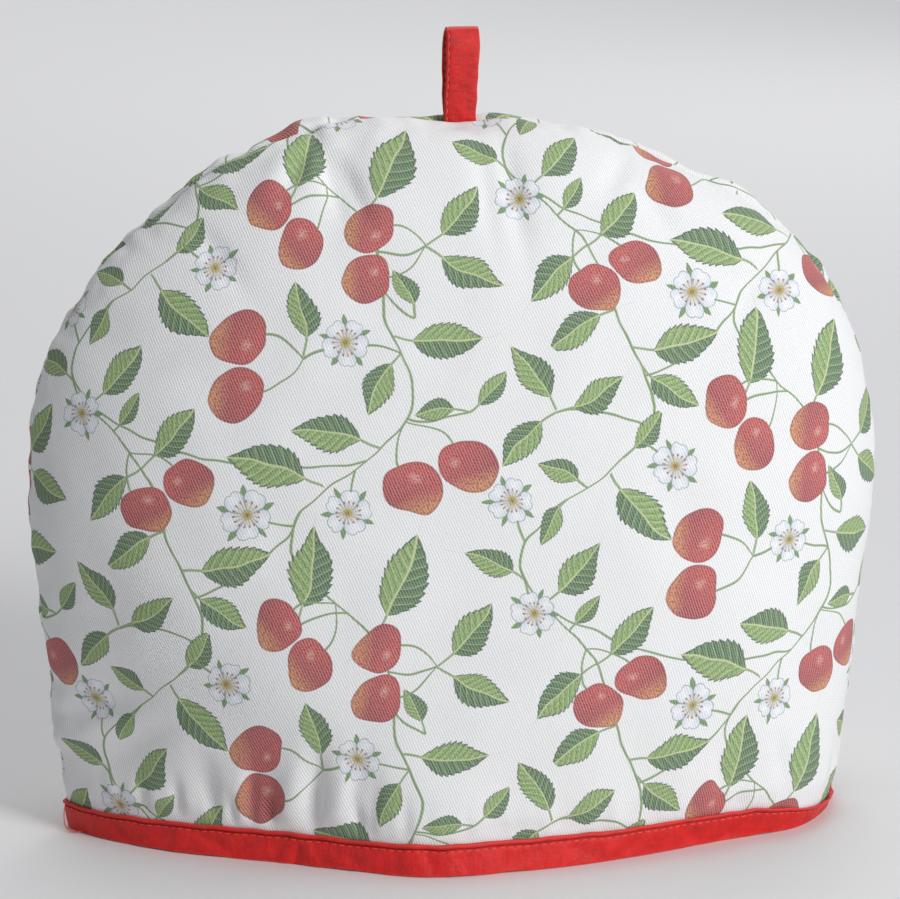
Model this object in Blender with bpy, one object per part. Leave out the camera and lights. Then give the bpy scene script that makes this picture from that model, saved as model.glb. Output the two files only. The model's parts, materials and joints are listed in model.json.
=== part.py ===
"""Tea cosy: two padded half-dome panels seamed round the crown, a bound hem and a hanging loop.

Metres, +Z up. The hem's underside lies on Z = 0, the front panel faces -Y, and the origin is on the
ground under the middle of the part. Each wall is cloth, wadding and lining together, as one solid.
"""

import math

import bmesh
import bpy
import numpy as np
from mathutils import Vector
from mathutils.geometry import interpolate_bezier

MM = 0.001

# The dome, drawn to its seam. Levels are heights over the panels' lower edge
WIDTH = 323 * MM
HEIGHT = 272 * MM
DEPTH = 146 * MM
WIDEST_AT = 134 * MM
HEM_TUCK = 14 * MM
HEM_TUCK_POWER = 1.5
CROWN_POWER = 2.2
CROWN_LEAN = 3 * MM

# How each panel swells from the seam: depth times (1 - reach ** swell) ** edge power
SWELL = 2.0
SWELL_AT_HEM = 1.5
SWELL_EVEN_AT = 110 * MM
SOFT_MIDDLE = 0.08
EDGE_POWER_RIGHT = 0.51
EDGE_POWER_LEFT = 0.74
CREASE_FADES = 3

# The right side has settled outwards behind the seam, low down
BEHIND_SWELL = 7 * MM
BEHIND_FROM_X, BEHIND_TO_X = 60 * MM, 145 * MM
BEHIND_FROM_Y, BEHIND_TO_Y = -2 * MM, 26 * MM
BEHIND_FULL_Z, BEHIND_NO_Z = 80 * MM, 190 * MM

# The crown's rises and dips in millimetres: where across, half the width, and how far up
CROWN_LUMPS = ((-60, 30, 3.6), (80, 24, -4.2), (22, 14, 0.8))
CROWN_LUMPS_POWER = 6

# The wall
WALL = 8 * MM
SEAM_WALL = 7 * MM
SEAM_GROOVE = 3.0 * MM
GROOVE_SPREAD = 4.5 * MM
GAP = 0.3 * MM

# The bound hem: the wall is pressed thin between the two legs of the binding
BINDING_HEIGHT = 12.5 * MM
BINDING_BACK_HEIGHT = 11.5 * MM
BINDING_CLOTH = 1.2 * MM
BINDING_ROUND = 0.9 * MM
BINDING_GAP = 0.5 * MM
HEM_PRESS = 1.4 * MM
PRESS_FADES = 9 * MM
PANEL_BASE = BINDING_CLOTH + BINDING_GAP
HEM_STRIP = BINDING_HEIGHT - PANEL_BASE + BINDING_GAP

# The hanging loop, a doubled strip sewn into the seam at the top
LOOP_WIDTH = 13 * MM
LOOP_HEIGHT = 35 * MM
LOOP_CLOTH = 1.5 * MM
LOOP_SUNK = 2.4 * MM
LOOP_FOOT = 1.15 * MM
LOOP_STRAIGHT = 12 * MM
LOOP_BELLY = 9.5 * MM
LOOP_LEAN = 1.4 * MM
LOOP_BACK_SHIFT = -0.9 * MM
LOOP_STEPS = 14

# Panel grid: round the dome, and from the middle of the hem out to the seam
ROUND_STEPS = 56
REACH_STEPS = 14
REACH_POWER = 1.7
HEM_SHARE = 0.7
RING_SKIPS = 2
RING_EVERY_WITHIN = 0.25

# Soft folds pressed into the outside, in millimetres: where the middle lies, how the crease leans
# from upright, half its length, half its width, and how deep it goes
FOLD_COLUMNS = ("side", "x", "z", "lean_deg", "half_length", "half_width", "depth")
FOLDS = (
    ("front", -45, 251, 14, 22, 8, 3.0),
    ("front", 17, 247, -6, 30, 11, 1.6),
    ("front", 96, 217, -48, 20, 8, 1.8),
    ("front", -132, 62, 68, 30, 12, 3.0),
    ("front", -97, 24, -8, 15, 5, 1.7),
    ("front", -78, 26, 4, 17, 5, 1.9),
    ("front", -60, 27, 8, 19, 6, 2.0),
    ("front", -44, 27, 6, 17, 5, 1.8),
    ("front", 60, 30, -4, 24, 12, 1.2),
    ("front", 128, 78, -20, 34, 12, 1.8),
    ("back", 50, 249, -12, 24, 9, 2.6),
    ("back", -70, 232, 30, 22, 9, 2.0),
    ("back", 118, 66, -60, 30, 12, 2.6),
    ("back", 40, 27, 5, 18, 6, 1.8),
    ("back", -24, 28, -4, 20, 7, 1.8),
    ("back", -92, 30, 6, 18, 7, 1.6),
)
FOLD_ON_LINING = 0.35
HEM_CLEAR = 14 * MM

# Puckers along the seam: waves round the dome, their phase in radians, and their swell in millimetres
PUCKERS = ((11, 0.4, 0.7), (19, 2.1, 0.6), (31, 4.4, 0.45))
PUCKER_SPREAD = 11 * MM

FOLD_ROWS = [dict(zip(FOLD_COLUMNS, row)) for row in FOLDS]


def fade(value, start, end):
    """1 below start, 0 above end, and smooth between."""
    share = min(max((value - start) / (end - start), 0.0), 1.0)
    return 1 - share * share * (3 - 2 * share)


def half_width(level):
    """Half the dome's width below its widest level."""
    share = max(0.0, (WIDEST_AT - level) / WIDEST_AT)
    return WIDTH / 2 - HEM_TUCK * share**HEM_TUCK_POWER


def dome_outline(steps=2400):
    """The seam's line from the top of the hem strip on the right to the same level on the left."""
    rise = HEIGHT - PANEL_BASE - WIDEST_AT
    side = [(half_width(z), z) for z in np.linspace(HEM_STRIP, WIDEST_AT, steps // 3, endpoint=False)]
    crown = []
    for turn in np.linspace(0, math.pi, steps):
        across = math.copysign(abs(math.cos(turn)) ** (2 / CROWN_POWER), math.cos(turn))
        up = max(0.0, math.sin(turn)) ** (2 / CROWN_POWER)
        crown.append((WIDTH / 2 * across, WIDEST_AT + rise * up))
    return np.array(side + crown + [(-x, z) for x, z in reversed(side)])


OUTLINE = dome_outline()
OUTLINE_RUN = np.concatenate([[0.0], np.cumsum(np.hypot(*np.diff(OUTLINE, axis=0).T))])
OUTLINE_ANGLES = np.arctan2(OUTLINE[:, 1] - HEM_STRIP, OUTLINE[:, 0])
OUTLINE_RADII = np.hypot(OUTLINE[:, 0], OUTLINE[:, 1] - HEM_STRIP)


def seam_place(share):
    """The seam's (x, level) at a share of the way from right to left."""
    run = share * OUTLINE_RUN[-1]
    return np.interp(run, OUTLINE_RUN, OUTLINE[:, 0]), np.interp(run, OUTLINE_RUN, OUTLINE[:, 1])


def outline_from(x, level):
    """The angle of a point about the middle of the hem strip's top, and the outline's radius there."""
    if level <= HEM_STRIP:
        return (0.0 if x >= 0 else math.pi), half_width(level)
    angle = math.atan2(level - HEM_STRIP, x)
    return angle, np.interp(angle, OUTLINE_ANGLES, OUTLINE_RADII)


def hem_press(level):
    """How far the binding presses each skin inwards at this height."""
    return HEM_PRESS * fade(level, HEM_STRIP, HEM_STRIP + PRESS_FADES)


def fold_depth(side, x, z):
    """How deep the folds of one side are at (x, z)."""
    total = 0.0
    for fold in FOLD_ROWS:
        if fold["side"] != side:
            continue
        lean = math.radians(fold["lean_deg"])
        dx, dz = x - fold["x"] * MM, z - fold["z"] * MM
        along = dz * math.cos(lean) + dx * math.sin(lean)
        across = dx * math.cos(lean) - dz * math.sin(lean)
        size = (along / (fold["half_length"] * MM)) ** 2 + (across / (fold["half_width"] * MM)) ** 2
        total += fold["depth"] * MM * math.exp(-size)
    return total * (1 - fade(z, HEM_CLEAR - 1 * MM, HEM_CLEAR + 5 * MM))


def pucker(angle, off_seam):
    """How far the padded edge swells outwards beside the seam."""
    waves = sum(size * MM * math.sin(count * angle + phase) for count, phase, size in PUCKERS)
    return waves * math.exp(-((off_seam / PUCKER_SPREAD) ** 2)) * min(1.0, off_seam / (2 * MM))


def settle(x, y, z):
    """Moves a point as the soft dome has settled: the top to the right, and the back's right side out."""
    right = 1 - fade(x, BEHIND_FROM_X, BEHIND_TO_X)
    behind = 1 - fade(y, BEHIND_FROM_Y, BEHIND_TO_Y)
    low = fade(z, BEHIND_FULL_Z, BEHIND_NO_Z)
    lean = CROWN_LEAN * (z / HEIGHT) ** 2
    lumps = sum(rise * MM * math.exp(-(((x / MM - at) / wide) ** 2)) for at, wide, rise in CROWN_LUMPS)
    lift = lumps * (max(z, 0.0) / HEIGHT) ** CROWN_LUMPS_POWER
    return Vector((x + lean + BEHIND_SWELL * right * behind * low, y, z + lift))


def stand_off(x, level, inset):
    """How far a skin that lies inset inside the outline stands off the seam's plane."""
    _, radius = outline_from(x, level)
    reach = min(1.0, math.hypot(x, max(0.0, level - HEM_STRIP)) / radius)
    soft = (math.hypot(reach, SOFT_MIDDLE) - SOFT_MIDDLE) / (math.hypot(1, SOFT_MIDDLE) - SOFT_MIDDLE)
    swell = SWELL + (SWELL_AT_HEM - SWELL) * fade(level, 0, SWELL_EVEN_AT)
    crease = ((1 - math.cos(math.atan2(level, x))) / 2) ** CREASE_FADES
    power = EDGE_POWER_RIGHT + (EDGE_POWER_LEFT - EDGE_POWER_RIGHT) * crease
    return (DEPTH / 2 - inset) * max(0.0, 1 - soft**swell) ** power


def skin_point(side, x, level, outer, on_seam):
    """A point of one panel's outer skin or lining, over its place (x, level) on the flat dome."""
    angle, radius = outline_from(x, level)
    raised = max(0.0, level - HEM_STRIP)
    reach = 1.0 if on_seam else math.hypot(x, raised) / radius
    press = hem_press(level)
    inset = press if outer else WALL + (SEAM_WALL - WALL) * reach**4 - press
    away = 0.0 if on_seam else stand_off(x, level, inset)
    shift = inset
    above_hem = 1 - fade(level, HEM_STRIP, 3 * HEM_STRIP)
    if outer:
        shift += above_hem * (SEAM_GROOVE * math.exp(-((away / GROOVE_SPREAD) ** 2)) - pucker(angle, away))
    px = x * (1 - shift / radius)
    pz = level - raised * shift / radius
    folded = fold_depth(side, px, pz) * (1 if outer else FOLD_ON_LINING)
    away = GAP / 2 + away - min(folded, 0.6 * away)
    return settle(px, -away if side == "front" else away, pz + PANEL_BASE)


def new_object(name, mesh_builder, material):
    """An object from a bmesh, smooth except at its hard rims."""
    mesh = bpy.data.meshes.new(name)
    bmesh.ops.recalc_face_normals(mesh_builder, faces=mesh_builder.faces)
    mesh_builder.to_mesh(mesh)
    mesh_builder.free()
    mesh.materials.append(material)
    mesh.shade_smooth()
    mesh.set_sharp_from_angle(angle=math.radians(50))
    built = bpy.data.objects.new(name, mesh)
    bpy.context.scene.collection.objects.link(built)
    return built


def cloth_material(name, colour, roughness):
    material = bpy.data.materials.new(name)
    material.use_nodes = True
    shader = material.node_tree.nodes["Principled BSDF"]
    shader.inputs["Base Color"].default_value = (*colour, 1)
    shader.inputs["Roughness"].default_value = roughness
    shader.inputs["Metallic"].default_value = 0
    return material


def dome_places():
    """Rows of places over the hem strip, from the middle of the hem out to the seam."""
    reaches = [1 - (1 - i / REACH_STEPS) ** REACH_POWER for i in range(REACH_STEPS + 1)]
    rows = []
    for reach in reaches:
        row = []
        for j in range(ROUND_STEPS + 1):
            x, level = seam_place(j / ROUND_STEPS)
            spread = HEM_SHARE + (1 - HEM_SHARE) * reach
            row.append((x * spread, HEM_STRIP + (level - HEM_STRIP) * reach))
        rows.append(row)
    return rows


def hem_fractions():
    """Where the grid's columns meet the hem, as shares of its half width from right to left."""
    rows = dome_places()
    row = [r[0] for r in reversed(rows)] + rows[0][1:-1] + [r[-1] for r in rows]
    return [x / half_width(HEM_STRIP) for x, _ in row]


def skin_grid(bm, side, outer):
    """One skin as a grid of quads, and its rim as a closed list of vertices."""
    places = dome_places()
    last = len(places) - 1
    rows = [
        [bm.verts.new(skin_point(side, x, level, outer, i == last)) for x, level in row]
        for i, row in enumerate(places)
    ]
    for low, high in zip(rows, rows[1:]):
        for j in range(ROUND_STEPS):
            bm.faces.new((low[j], low[j + 1], high[j + 1], high[j]))
    strip_top = [row[0] for row in reversed(rows)] + rows[0][1:-1] + [row[-1] for row in rows]
    foot = []
    for share in hem_fractions():
        on_seam = abs(share) > 1 - 1e-9
        foot.append(bm.verts.new(skin_point(side, share * half_width(0), 0, outer, on_seam)))
    for j in range(len(foot) - 1):
        bm.faces.new((foot[j], foot[j + 1], strip_top[j + 1], strip_top[j]))
    return rows[-1] + list(reversed(foot))


def build_panel(side, material):
    """A padded panel: its outer skin and its lining, closed by the seam's face and the hem's edge."""
    bm = bmesh.new()
    outer_rim = skin_grid(bm, side, outer=True)
    lining_rim = skin_grid(bm, side, outer=False)
    for i, corner in enumerate(outer_rim):
        following = (i + 1) % len(outer_rim)
        bm.faces.new((corner, outer_rim[following], lining_rim[following], lining_rim[i]))
    return new_object(f"panel_{side}", bm, material)


def hem_point(side, share, inset, z):
    """A point round the hem, inset inside the dome's outline, at a height off the ground."""
    level = max(0.0, z - PANEL_BASE)
    x = share * half_width(level)
    at_corner = abs(share) > 1 - 1e-9
    away = 0.0 if at_corner else GAP / 2 + stand_off(x, level, inset)
    px = x - share * inset
    return settle(px, -away if side == "front" else away, z)


def build_binding(material):
    """The folded strip that wraps the hem: an outer leg, a flat underside and an inner leg."""
    outer_face = HEM_PRESS - BINDING_GAP
    outside = outer_face - BINDING_CLOTH
    inner_face = WALL - HEM_PRESS + BINDING_GAP
    inside = inner_face + BINDING_CLOTH
    section = (
        (outside, BINDING_HEIGHT),
        (outside, BINDING_ROUND),
        (outside + BINDING_ROUND, 0.0),
        (inside - BINDING_ROUND, 0.0),
        (inside, BINDING_ROUND),
        (inside, BINDING_BACK_HEIGHT),
        (inner_face, BINDING_BACK_HEIGHT),
        (inner_face, BINDING_CLOTH),
        (outer_face, BINDING_CLOTH),
        (outer_face, BINDING_HEIGHT),
    )
    fractions = hem_fractions()
    last = len(fractions) - 1
    kept = []
    for i, share in enumerate(fractions):
        near_end = min(i, last - i) <= REACH_STEPS
        if near_end or abs(share) < RING_EVERY_WITHIN or i % RING_SKIPS == 0:
            kept.append(share)
    ring_places = [("front", f) for f in kept] + [("back", f) for f in reversed(kept[1:-1])]
    bm = bmesh.new()
    rings = [[bm.verts.new(hem_point(side, f, inset, z)) for inset, z in section] for side, f in ring_places]
    for ring, following in zip(rings, rings[1:] + rings[:1]):
        for k in range(len(section)):
            after = (k + 1) % len(section)
            bm.faces.new((ring[k], ring[after], following[after], following[k]))
    return new_object("hem_binding", bm, material)


def seam_top():
    """The bottom of the seam's groove at the crown, where the loop is sewn in."""
    x, level = seam_place(0.5)
    return skin_point("front", x, level, outer=True, on_seam=True)


def build_loop(material):
    """A doubled strip that rises from the seam, turns over and comes down behind."""
    foot = seam_top()
    start, top = -LOOP_SUNK, LOOP_HEIGHT - LOOP_CLOTH / 2
    front_leg = interpolate_bezier(
        Vector((-LOOP_FOOT, start, 0)),
        Vector((-LOOP_FOOT, LOOP_STRAIGHT, 0)),
        Vector((-LOOP_BELLY, top, 0)),
        Vector((0, top, 0)),
        LOOP_STEPS,
    )
    path = list(front_leg) + [Vector((-p.x, p.y, 0)) for p in reversed(front_leg[:-1])]
    bm = bmesh.new()
    sections = []
    for i, point in enumerate(path):
        before, after = path[max(i - 1, 0)], path[min(i + 1, len(path) - 1)]
        run = (after - before).normalized()
        across = Vector((-run.y, run.x, 0)) * LOOP_CLOTH / 2
        behind = i / (len(path) - 1)
        rise = max(0.0, point.y) / LOOP_HEIGHT
        lean = LOOP_LEAN * rise**1.5 + LOOP_BACK_SHIFT * rise * math.sin(math.pi * behind / 2) ** 4
        middle = foot.x + lean
        corners = []
        for face, edge in ((1, -1), (1, 1), (-1, 1), (-1, -1)):
            place = point + across * face
            x = middle + edge * LOOP_WIDTH / 2
            corners.append(bm.verts.new((x, place.x, foot.z + place.y)))
        sections.append(corners)
    for near, far in zip(sections, sections[1:]):
        for k in range(4):
            after = (k + 1) % 4
            bm.faces.new((near[k], near[after], far[after], far[k]))
    bm.faces.new(sections[0])
    bm.faces.new(sections[-1])
    return new_object("hanging_loop", bm, material)


def cut_loop_pocket(panel):
    """Opens the seam for the loop's feet."""
    foot = seam_top()
    half_thick = LOOP_FOOT + LOOP_CLOTH / 2 + 2 * GAP
    deep = LOOP_SUNK + 1.5 * GAP
    over = 8 * MM
    bm = bmesh.new()
    bmesh.ops.create_cube(bm, size=1)
    size = Vector((LOOP_WIDTH + 3 * GAP, 2 * half_thick, deep + over))
    bmesh.ops.scale(bm, vec=size, verts=bm.verts)
    bmesh.ops.translate(bm, vec=(foot.x, 0, foot.z + (over - deep) / 2), verts=bm.verts)
    cutter = new_object(f"{panel.name}_pocket", bm, panel.data.materials[0])
    cutter.hide_render = True
    cutter.display_type = "WIRE"
    opening = panel.modifiers.new("loop_pocket", "BOOLEAN")
    opening.operation = "DIFFERENCE"
    opening.solver = "EXACT"
    opening.object = cutter
    return cutter


def centre_over_origin(objects):
    """Moves everything sideways so that the part's box is centred on the origin."""
    corners = np.array([v.co for shown in objects for v in shown.data.vertices if not shown.hide_render])
    middle = (corners.min(axis=0) + corners.max(axis=0)) / 2
    for moved in objects:
        for vertex in moved.data.vertices:
            vertex.co.x -= middle[0]
            vertex.co.y -= middle[1]


def main():
    for old in list(bpy.data.objects):
        bpy.data.objects.remove(old)
    printed_cotton = cloth_material("printed_cotton", (0.80, 0.79, 0.77), 0.85)
    red_cotton = cloth_material("red_cotton", (0.62, 0.03, 0.02), 0.7)
    panels = [build_panel(side, printed_cotton) for side in ("front", "back")]
    binding = build_binding(red_cotton)
    loop = build_loop(red_cotton)
    cutters = [cut_loop_pocket(panel) for panel in panels]
    centre_over_origin([*panels, binding, loop, *cutters])


main()
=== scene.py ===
# %% [markdown]
# # A padded tea cosy
# The cosy is two padded half-dome panels, seamed round the crown, with a red binding folded over the open
# hem and a red loop to hang it by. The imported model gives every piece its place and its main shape. The
# cells below dress it: finer folds and puckers in the cloth, the printed twill, the red cotton, and the
# stitches.

# %% Frame
import json
import math

import bmesh
import bpy
import numpy as np
from mathutils import Matrix, Vector, noise
from mathutils.geometry import interpolate_bezier

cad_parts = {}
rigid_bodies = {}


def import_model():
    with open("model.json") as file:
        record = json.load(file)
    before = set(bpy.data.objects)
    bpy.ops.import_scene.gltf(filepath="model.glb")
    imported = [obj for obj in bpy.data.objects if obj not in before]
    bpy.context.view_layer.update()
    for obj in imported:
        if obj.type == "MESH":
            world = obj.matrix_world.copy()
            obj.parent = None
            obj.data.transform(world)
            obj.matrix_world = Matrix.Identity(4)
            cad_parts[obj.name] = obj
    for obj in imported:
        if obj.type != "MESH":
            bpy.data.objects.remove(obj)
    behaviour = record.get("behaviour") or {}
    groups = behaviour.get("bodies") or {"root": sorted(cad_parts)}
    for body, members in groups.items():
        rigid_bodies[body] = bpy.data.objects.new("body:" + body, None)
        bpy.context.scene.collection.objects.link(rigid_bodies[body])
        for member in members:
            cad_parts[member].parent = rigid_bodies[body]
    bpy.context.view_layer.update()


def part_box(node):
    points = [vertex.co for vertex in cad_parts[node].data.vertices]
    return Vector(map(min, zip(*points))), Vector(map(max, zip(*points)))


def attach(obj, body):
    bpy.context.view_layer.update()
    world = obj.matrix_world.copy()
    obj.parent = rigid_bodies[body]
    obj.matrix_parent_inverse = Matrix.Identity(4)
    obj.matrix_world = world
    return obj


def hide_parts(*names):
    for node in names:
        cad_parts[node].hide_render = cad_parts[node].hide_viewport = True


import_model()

MM = 0.001

# %% [markdown]
# ## Camera
# The view is a little from above and from the cosy's left. A long lens, 1.5 m away, keeps the dome's sides
# as straight as they are.

# %% Camera
VIEW_AZIMUTH, VIEW_ELEVATION = math.radians(-7), math.radians(13)
VIEW_DISTANCE = 1.5
PIXELS_PER_METRE = 2640
IMAGE_WIDTH = 900
SENSOR_MM = 36
AIM_LEVEL = 140 * MM
AIM_LEFT_PIXELS, AIM_UP_PIXELS = 7, 9.5

away = Vector(
    (
        math.sin(VIEW_AZIMUTH) * math.cos(VIEW_ELEVATION),
        -math.cos(VIEW_AZIMUTH) * math.cos(VIEW_ELEVATION),
        math.sin(VIEW_ELEVATION),
    )
)
to_right = Vector((math.cos(VIEW_AZIMUTH), math.sin(VIEW_AZIMUTH), 0))
to_top = away.cross(to_right)
aim = Vector((0, 0, AIM_LEVEL)) + (to_top * AIM_UP_PIXELS - to_right * AIM_LEFT_PIXELS) / PIXELS_PER_METRE
camera_data = bpy.data.cameras.new("camera")
camera_data.sensor_width = SENSOR_MM
camera_data.lens = PIXELS_PER_METRE * VIEW_DISTANCE / IMAGE_WIDTH * SENSOR_MM
camera = bpy.data.objects.new("camera", camera_data)
camera.location = aim + away * VIEW_DISTANCE
camera.rotation_euler = away.to_track_quat("Z", "Y").to_euler()
bpy.context.scene.collection.objects.link(camera)
bpy.context.scene.camera = camera
bpy.context.scene.view_settings.view_transform = "Standard"
print(f"lens {camera_data.lens:.1f} mm")

# %% [markdown]
# ## Shader maths
# Every material below is worked out from numbers, so a material is a long sum. Wiring each plus and minus
# by hand hides the sum, so one small class wraps a socket and lets Python's own signs add the Math nodes.
# Vectors and colours have their own node types, because a Math node would keep only their brightness.


# %% Wires
class Wire:
    """A socket in a material's node tree that can be added, multiplied and compared."""

    def __init__(self, tree, socket):
        self.tree = tree
        self.socket = socket

    def node(self, kind, settings=None, inputs=None, output=0):
        """Adds a node: its settings first, then its sockets' values or wires. Gives one output."""
        made = self.tree.nodes.new(kind)
        for name, value in (settings or {}).items():
            setattr(made, name, value)
        for key, value in (inputs or {}).items():
            if isinstance(value, Wire):
                self.tree.links.new(value.socket, made.inputs[key])
            elif value is not None:
                made.inputs[key].default_value = value
        return Wire(self.tree, made.outputs[output])

    def math(self, operation, *terms, clamp=False):
        settings = {"operation": operation, "use_clamp": clamp}
        return self.node("ShaderNodeMath", settings, dict(enumerate(terms)))

    def __add__(self, other):
        return self.math("ADD", self, other)

    __radd__ = __add__

    def __sub__(self, other):
        return self.math("SUBTRACT", self, other)

    def __rsub__(self, other):
        return self.math("SUBTRACT", other, self)

    def __mul__(self, other):
        return self.math("MULTIPLY", self, other)

    __rmul__ = __mul__

    def __truediv__(self, other):
        return self.math("DIVIDE", self, other)

    def __pow__(self, other):
        return self.math("POWER", self, other)

    def __mod__(self, other):
        return self.math("FLOORED_MODULO", self, other)

    def __abs__(self):
        return self.math("ABSOLUTE", self)

    def times_plus(self, factor, term):
        return self.math("MULTIPLY_ADD", self, factor, term)

    def clamped(self):
        return self.math("ADD", self, 0.0, clamp=True)

    def sine(self):
        return self.math("SINE", self)

    def part(self):
        """What is left over the whole number."""
        return self.math("FRACT", self)

    def least(self, other):
        return self.math("MINIMUM", self, other)

    def floor(self):
        return self.math("FLOOR", self)

    def below(self, other, soft=0.1):
        """1 where this is under other and 0 where it is over, with a soft edge of that width between."""
        return self.math("MULTIPLY_ADD", other - self, 1 / soft, 0.5, clamp=True)

    def above(self, other, soft=0.1):
        return self.math("MULTIPLY_ADD", self - other, 1 / soft, 0.5, clamp=True)

    def length_with(self, other):
        """How far a point this far across and that far up is from the middle."""
        return self.node("ShaderNodeCombineXYZ", None, {0: self, 1: other}).vector("LENGTH", output=1)

    def axes(self):
        """The x, y and z of a vector."""
        split = self.tree.nodes.new("ShaderNodeSeparateXYZ")
        self.tree.links.new(self.socket, split.inputs[0])
        return [Wire(self.tree, out) for out in split.outputs]

    def vector(self, operation, *terms, output=0):
        return self.node("ShaderNodeVectorMath", {"operation": operation}, dict(enumerate((self, *terms))), output)

    def clouds(self, scale, detail, output=0):
        """Soft noise from 0 to 1 over a flat place, or as a colour from output 1."""
        sockets = {"Vector": self, "Scale": scale, "Detail": detail}
        return self.node("ShaderNodeTexNoise", {"noise_dimensions": "2D"}, sockets, output)

    def mix(self, first, last):
        """The first colour where this is 0, the last where it is 1, and a blend between."""
        return self.node("ShaderNodeMix", {"data_type": "RGBA"}, {0: self, 6: first, 7: last}, output=2)


def colour(red, green, blue):
    """A colour for a socket, from the 0 to 255 numbers of a paint chart."""
    linear = [((c / 255 + 0.055) / 1.055) ** 2.4 if c > 10 else c / 255 / 12.92 for c in (red, green, blue)]
    return (*linear, 1.0)


def new_material(name, roughness, sheen=0.0, specular=0.3):
    """A cloth material: its name, its tree as a Wire to start sums from, and its shader."""
    material = bpy.data.materials.new(name)
    material.use_nodes = True
    tree = material.node_tree
    shader = tree.nodes["Principled BSDF"]
    shader.inputs["Roughness"].default_value = roughness
    shader.inputs["Specular IOR Level"].default_value = specular
    shader.inputs["Sheen Weight"].default_value = sheen
    shader.inputs["Sheen Roughness"].default_value = 0.5
    return material, Wire(tree, shader.outputs[0]), shader


# %% [markdown]
# ## Room
# A plain pale floor and plain soft light. A big lamp stands on the right and in front, a weaker one on the
# left, and the pale sky fills the shadows, so the right side is the brighter one. A small one behind keeps
# the back from going flat, and one more lights only the far floor, which the others do not reach.

# %% Room
FLOOR_SIZE = 30
FLOOR_COLOUR = colour(226, 226, 227)
SKY_COLOUR = colour(226, 228, 232)
SKY_STRENGTH = 0.25
LAMPS = (
    # name, place and aim in metres, size in metres, watts
    ("lamp_right", (1.35, -1.65, 1.1), (0, 0, 0.12), 0.8, 41),
    ("lamp_left", (-1.7, -1.4, 1.1), (0, 0, 0.12), 1.2, 1.5),
    ("lamp_top", (-0.1, 0.3, 1.9), (0, 0, 0.12), 1.2, 9),
    ("lamp_behind", (0.9, 1.9, 1.2), (0, 0, 0.12), 1.0, 7),
    ("lamp_floor", (0, 3.2, 2.2), (0, 3.4, 0), 2.4, 42),
)

floor_builder = bmesh.new()
bmesh.ops.create_grid(floor_builder, x_segments=1, y_segments=1, size=FLOOR_SIZE / 2)
floor_mesh = bpy.data.meshes.new("floor")
floor_builder.to_mesh(floor_mesh)
floor_builder.free()
floor = bpy.data.objects.new("floor", floor_mesh)
bpy.context.scene.collection.objects.link(floor)
floor_material, _, floor_shader = new_material("floor_paint", roughness=0.9)
floor_shader.inputs["Base Color"].default_value = FLOOR_COLOUR
floor_mesh.materials.append(floor_material)

world = bpy.data.worlds.new("sky")
bpy.context.scene.world = world
world.use_nodes = True
sky = world.node_tree.nodes["Background"]
sky.inputs["Color"].default_value = SKY_COLOUR
sky.inputs["Strength"].default_value = SKY_STRENGTH
for name, place, lamp_aim, size, watts in LAMPS:
    lamp_data = bpy.data.lights.new(name, "AREA")
    lamp_data.size = size
    lamp_data.energy = watts
    lamp = bpy.data.objects.new(name, lamp_data)
    lamp.location = place
    lamp.rotation_euler = (Vector(place) - Vector(lamp_aim)).to_track_quat("Z", "Y").to_euler()
    bpy.context.scene.collection.objects.link(lamp)
print(len(LAMPS), "lamps")

# %% [markdown]
# ## The dome
# Each panel is one padded wall: printed twill outside, wadding, and a plain lining inside. Its solid in the
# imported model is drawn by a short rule: how far the cloth stands off the seam at each place of the flat
# dome. The rule is repeated here in the same numbers, so the cloth lies where its solid is, but on a mesh
# that is even and fine enough for small folds. Only the groove along the seam is drawn tighter here: a
# wide shallow dip, a narrower one, and a sharp crease where the two panels are sewn together.

# %% The dome's numbers
# Tables of bumps along x hold place, half width and height in mm
WIDTH, HEIGHT, DEPTH = 323 * MM, 272 * MM, 146 * MM
WIDEST_AT = 134 * MM
HEM_TUCK, HEM_TUCK_POWER = 14 * MM, 1.5
CROWN_POWER, CROWN_LEAN = 2.2, 3 * MM
SWELL, SWELL_AT_HEM, SWELL_EVEN_AT, SOFT_MIDDLE = 2.0, 1.5, 110 * MM, 0.08
EDGE_POWER_RIGHT, EDGE_POWER_LEFT, CREASE_FADES = 0.51, 0.74, 3
BEHIND_SWELL = 7 * MM
BEHIND_FROM_X, BEHIND_TO_X = 60 * MM, 145 * MM
BEHIND_FROM_Y, BEHIND_TO_Y = -2 * MM, 26 * MM
BEHIND_FULL_Z, BEHIND_NO_Z = 80 * MM, 190 * MM
CROWN_LUMPS, CROWN_LUMPS_POWER = ((-60, 30, 3.6), (84, 27, -6.4), (22, 14, 0.8)), 6
WALL, SEAM_WALL, GAP = 8 * MM, 7 * MM, 0.3 * MM
SEAM_DIPS = ((0.9, 9.0), (1.7, 2.6), (2.0, 1.2))
BINDING_HEIGHT, BINDING_BACK_HEIGHT = 12.5 * MM, 11.5 * MM
BINDING_CLOTH, BINDING_GAP = 1.2 * MM, 0.5 * MM
HEM_PRESS, PRESS_FADES = 1.4 * MM, 9 * MM
PANEL_BASE = BINDING_CLOTH + BINDING_GAP
HEM_STRIP = BINDING_HEIGHT - PANEL_BASE + BINDING_GAP
HEM_PUSHES, PUSH_FADES = ((-16, 24, -4.0), (-74, 30, 4.0), (130, 20, -7.0)), 70 * MM
HEM_TURN, TURN_FROM_X, TURN_TO_X, TURN_UP_TO = 4.4 * MM, 20 * MM, 100 * MM, 15 * MM
TURN_FADES = 30 * MM
CORNER_DROP, DROP_FROM_X, DROP_TO_X, DROP_FADES = 8.0 * MM, 108 * MM, 154 * MM, 60 * MM
LEFT_DROPS = ((-146, 26, 1.6),)
SWELL_MIDDLE, SWELL_SPREAD = 7.0, 6.0
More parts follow.
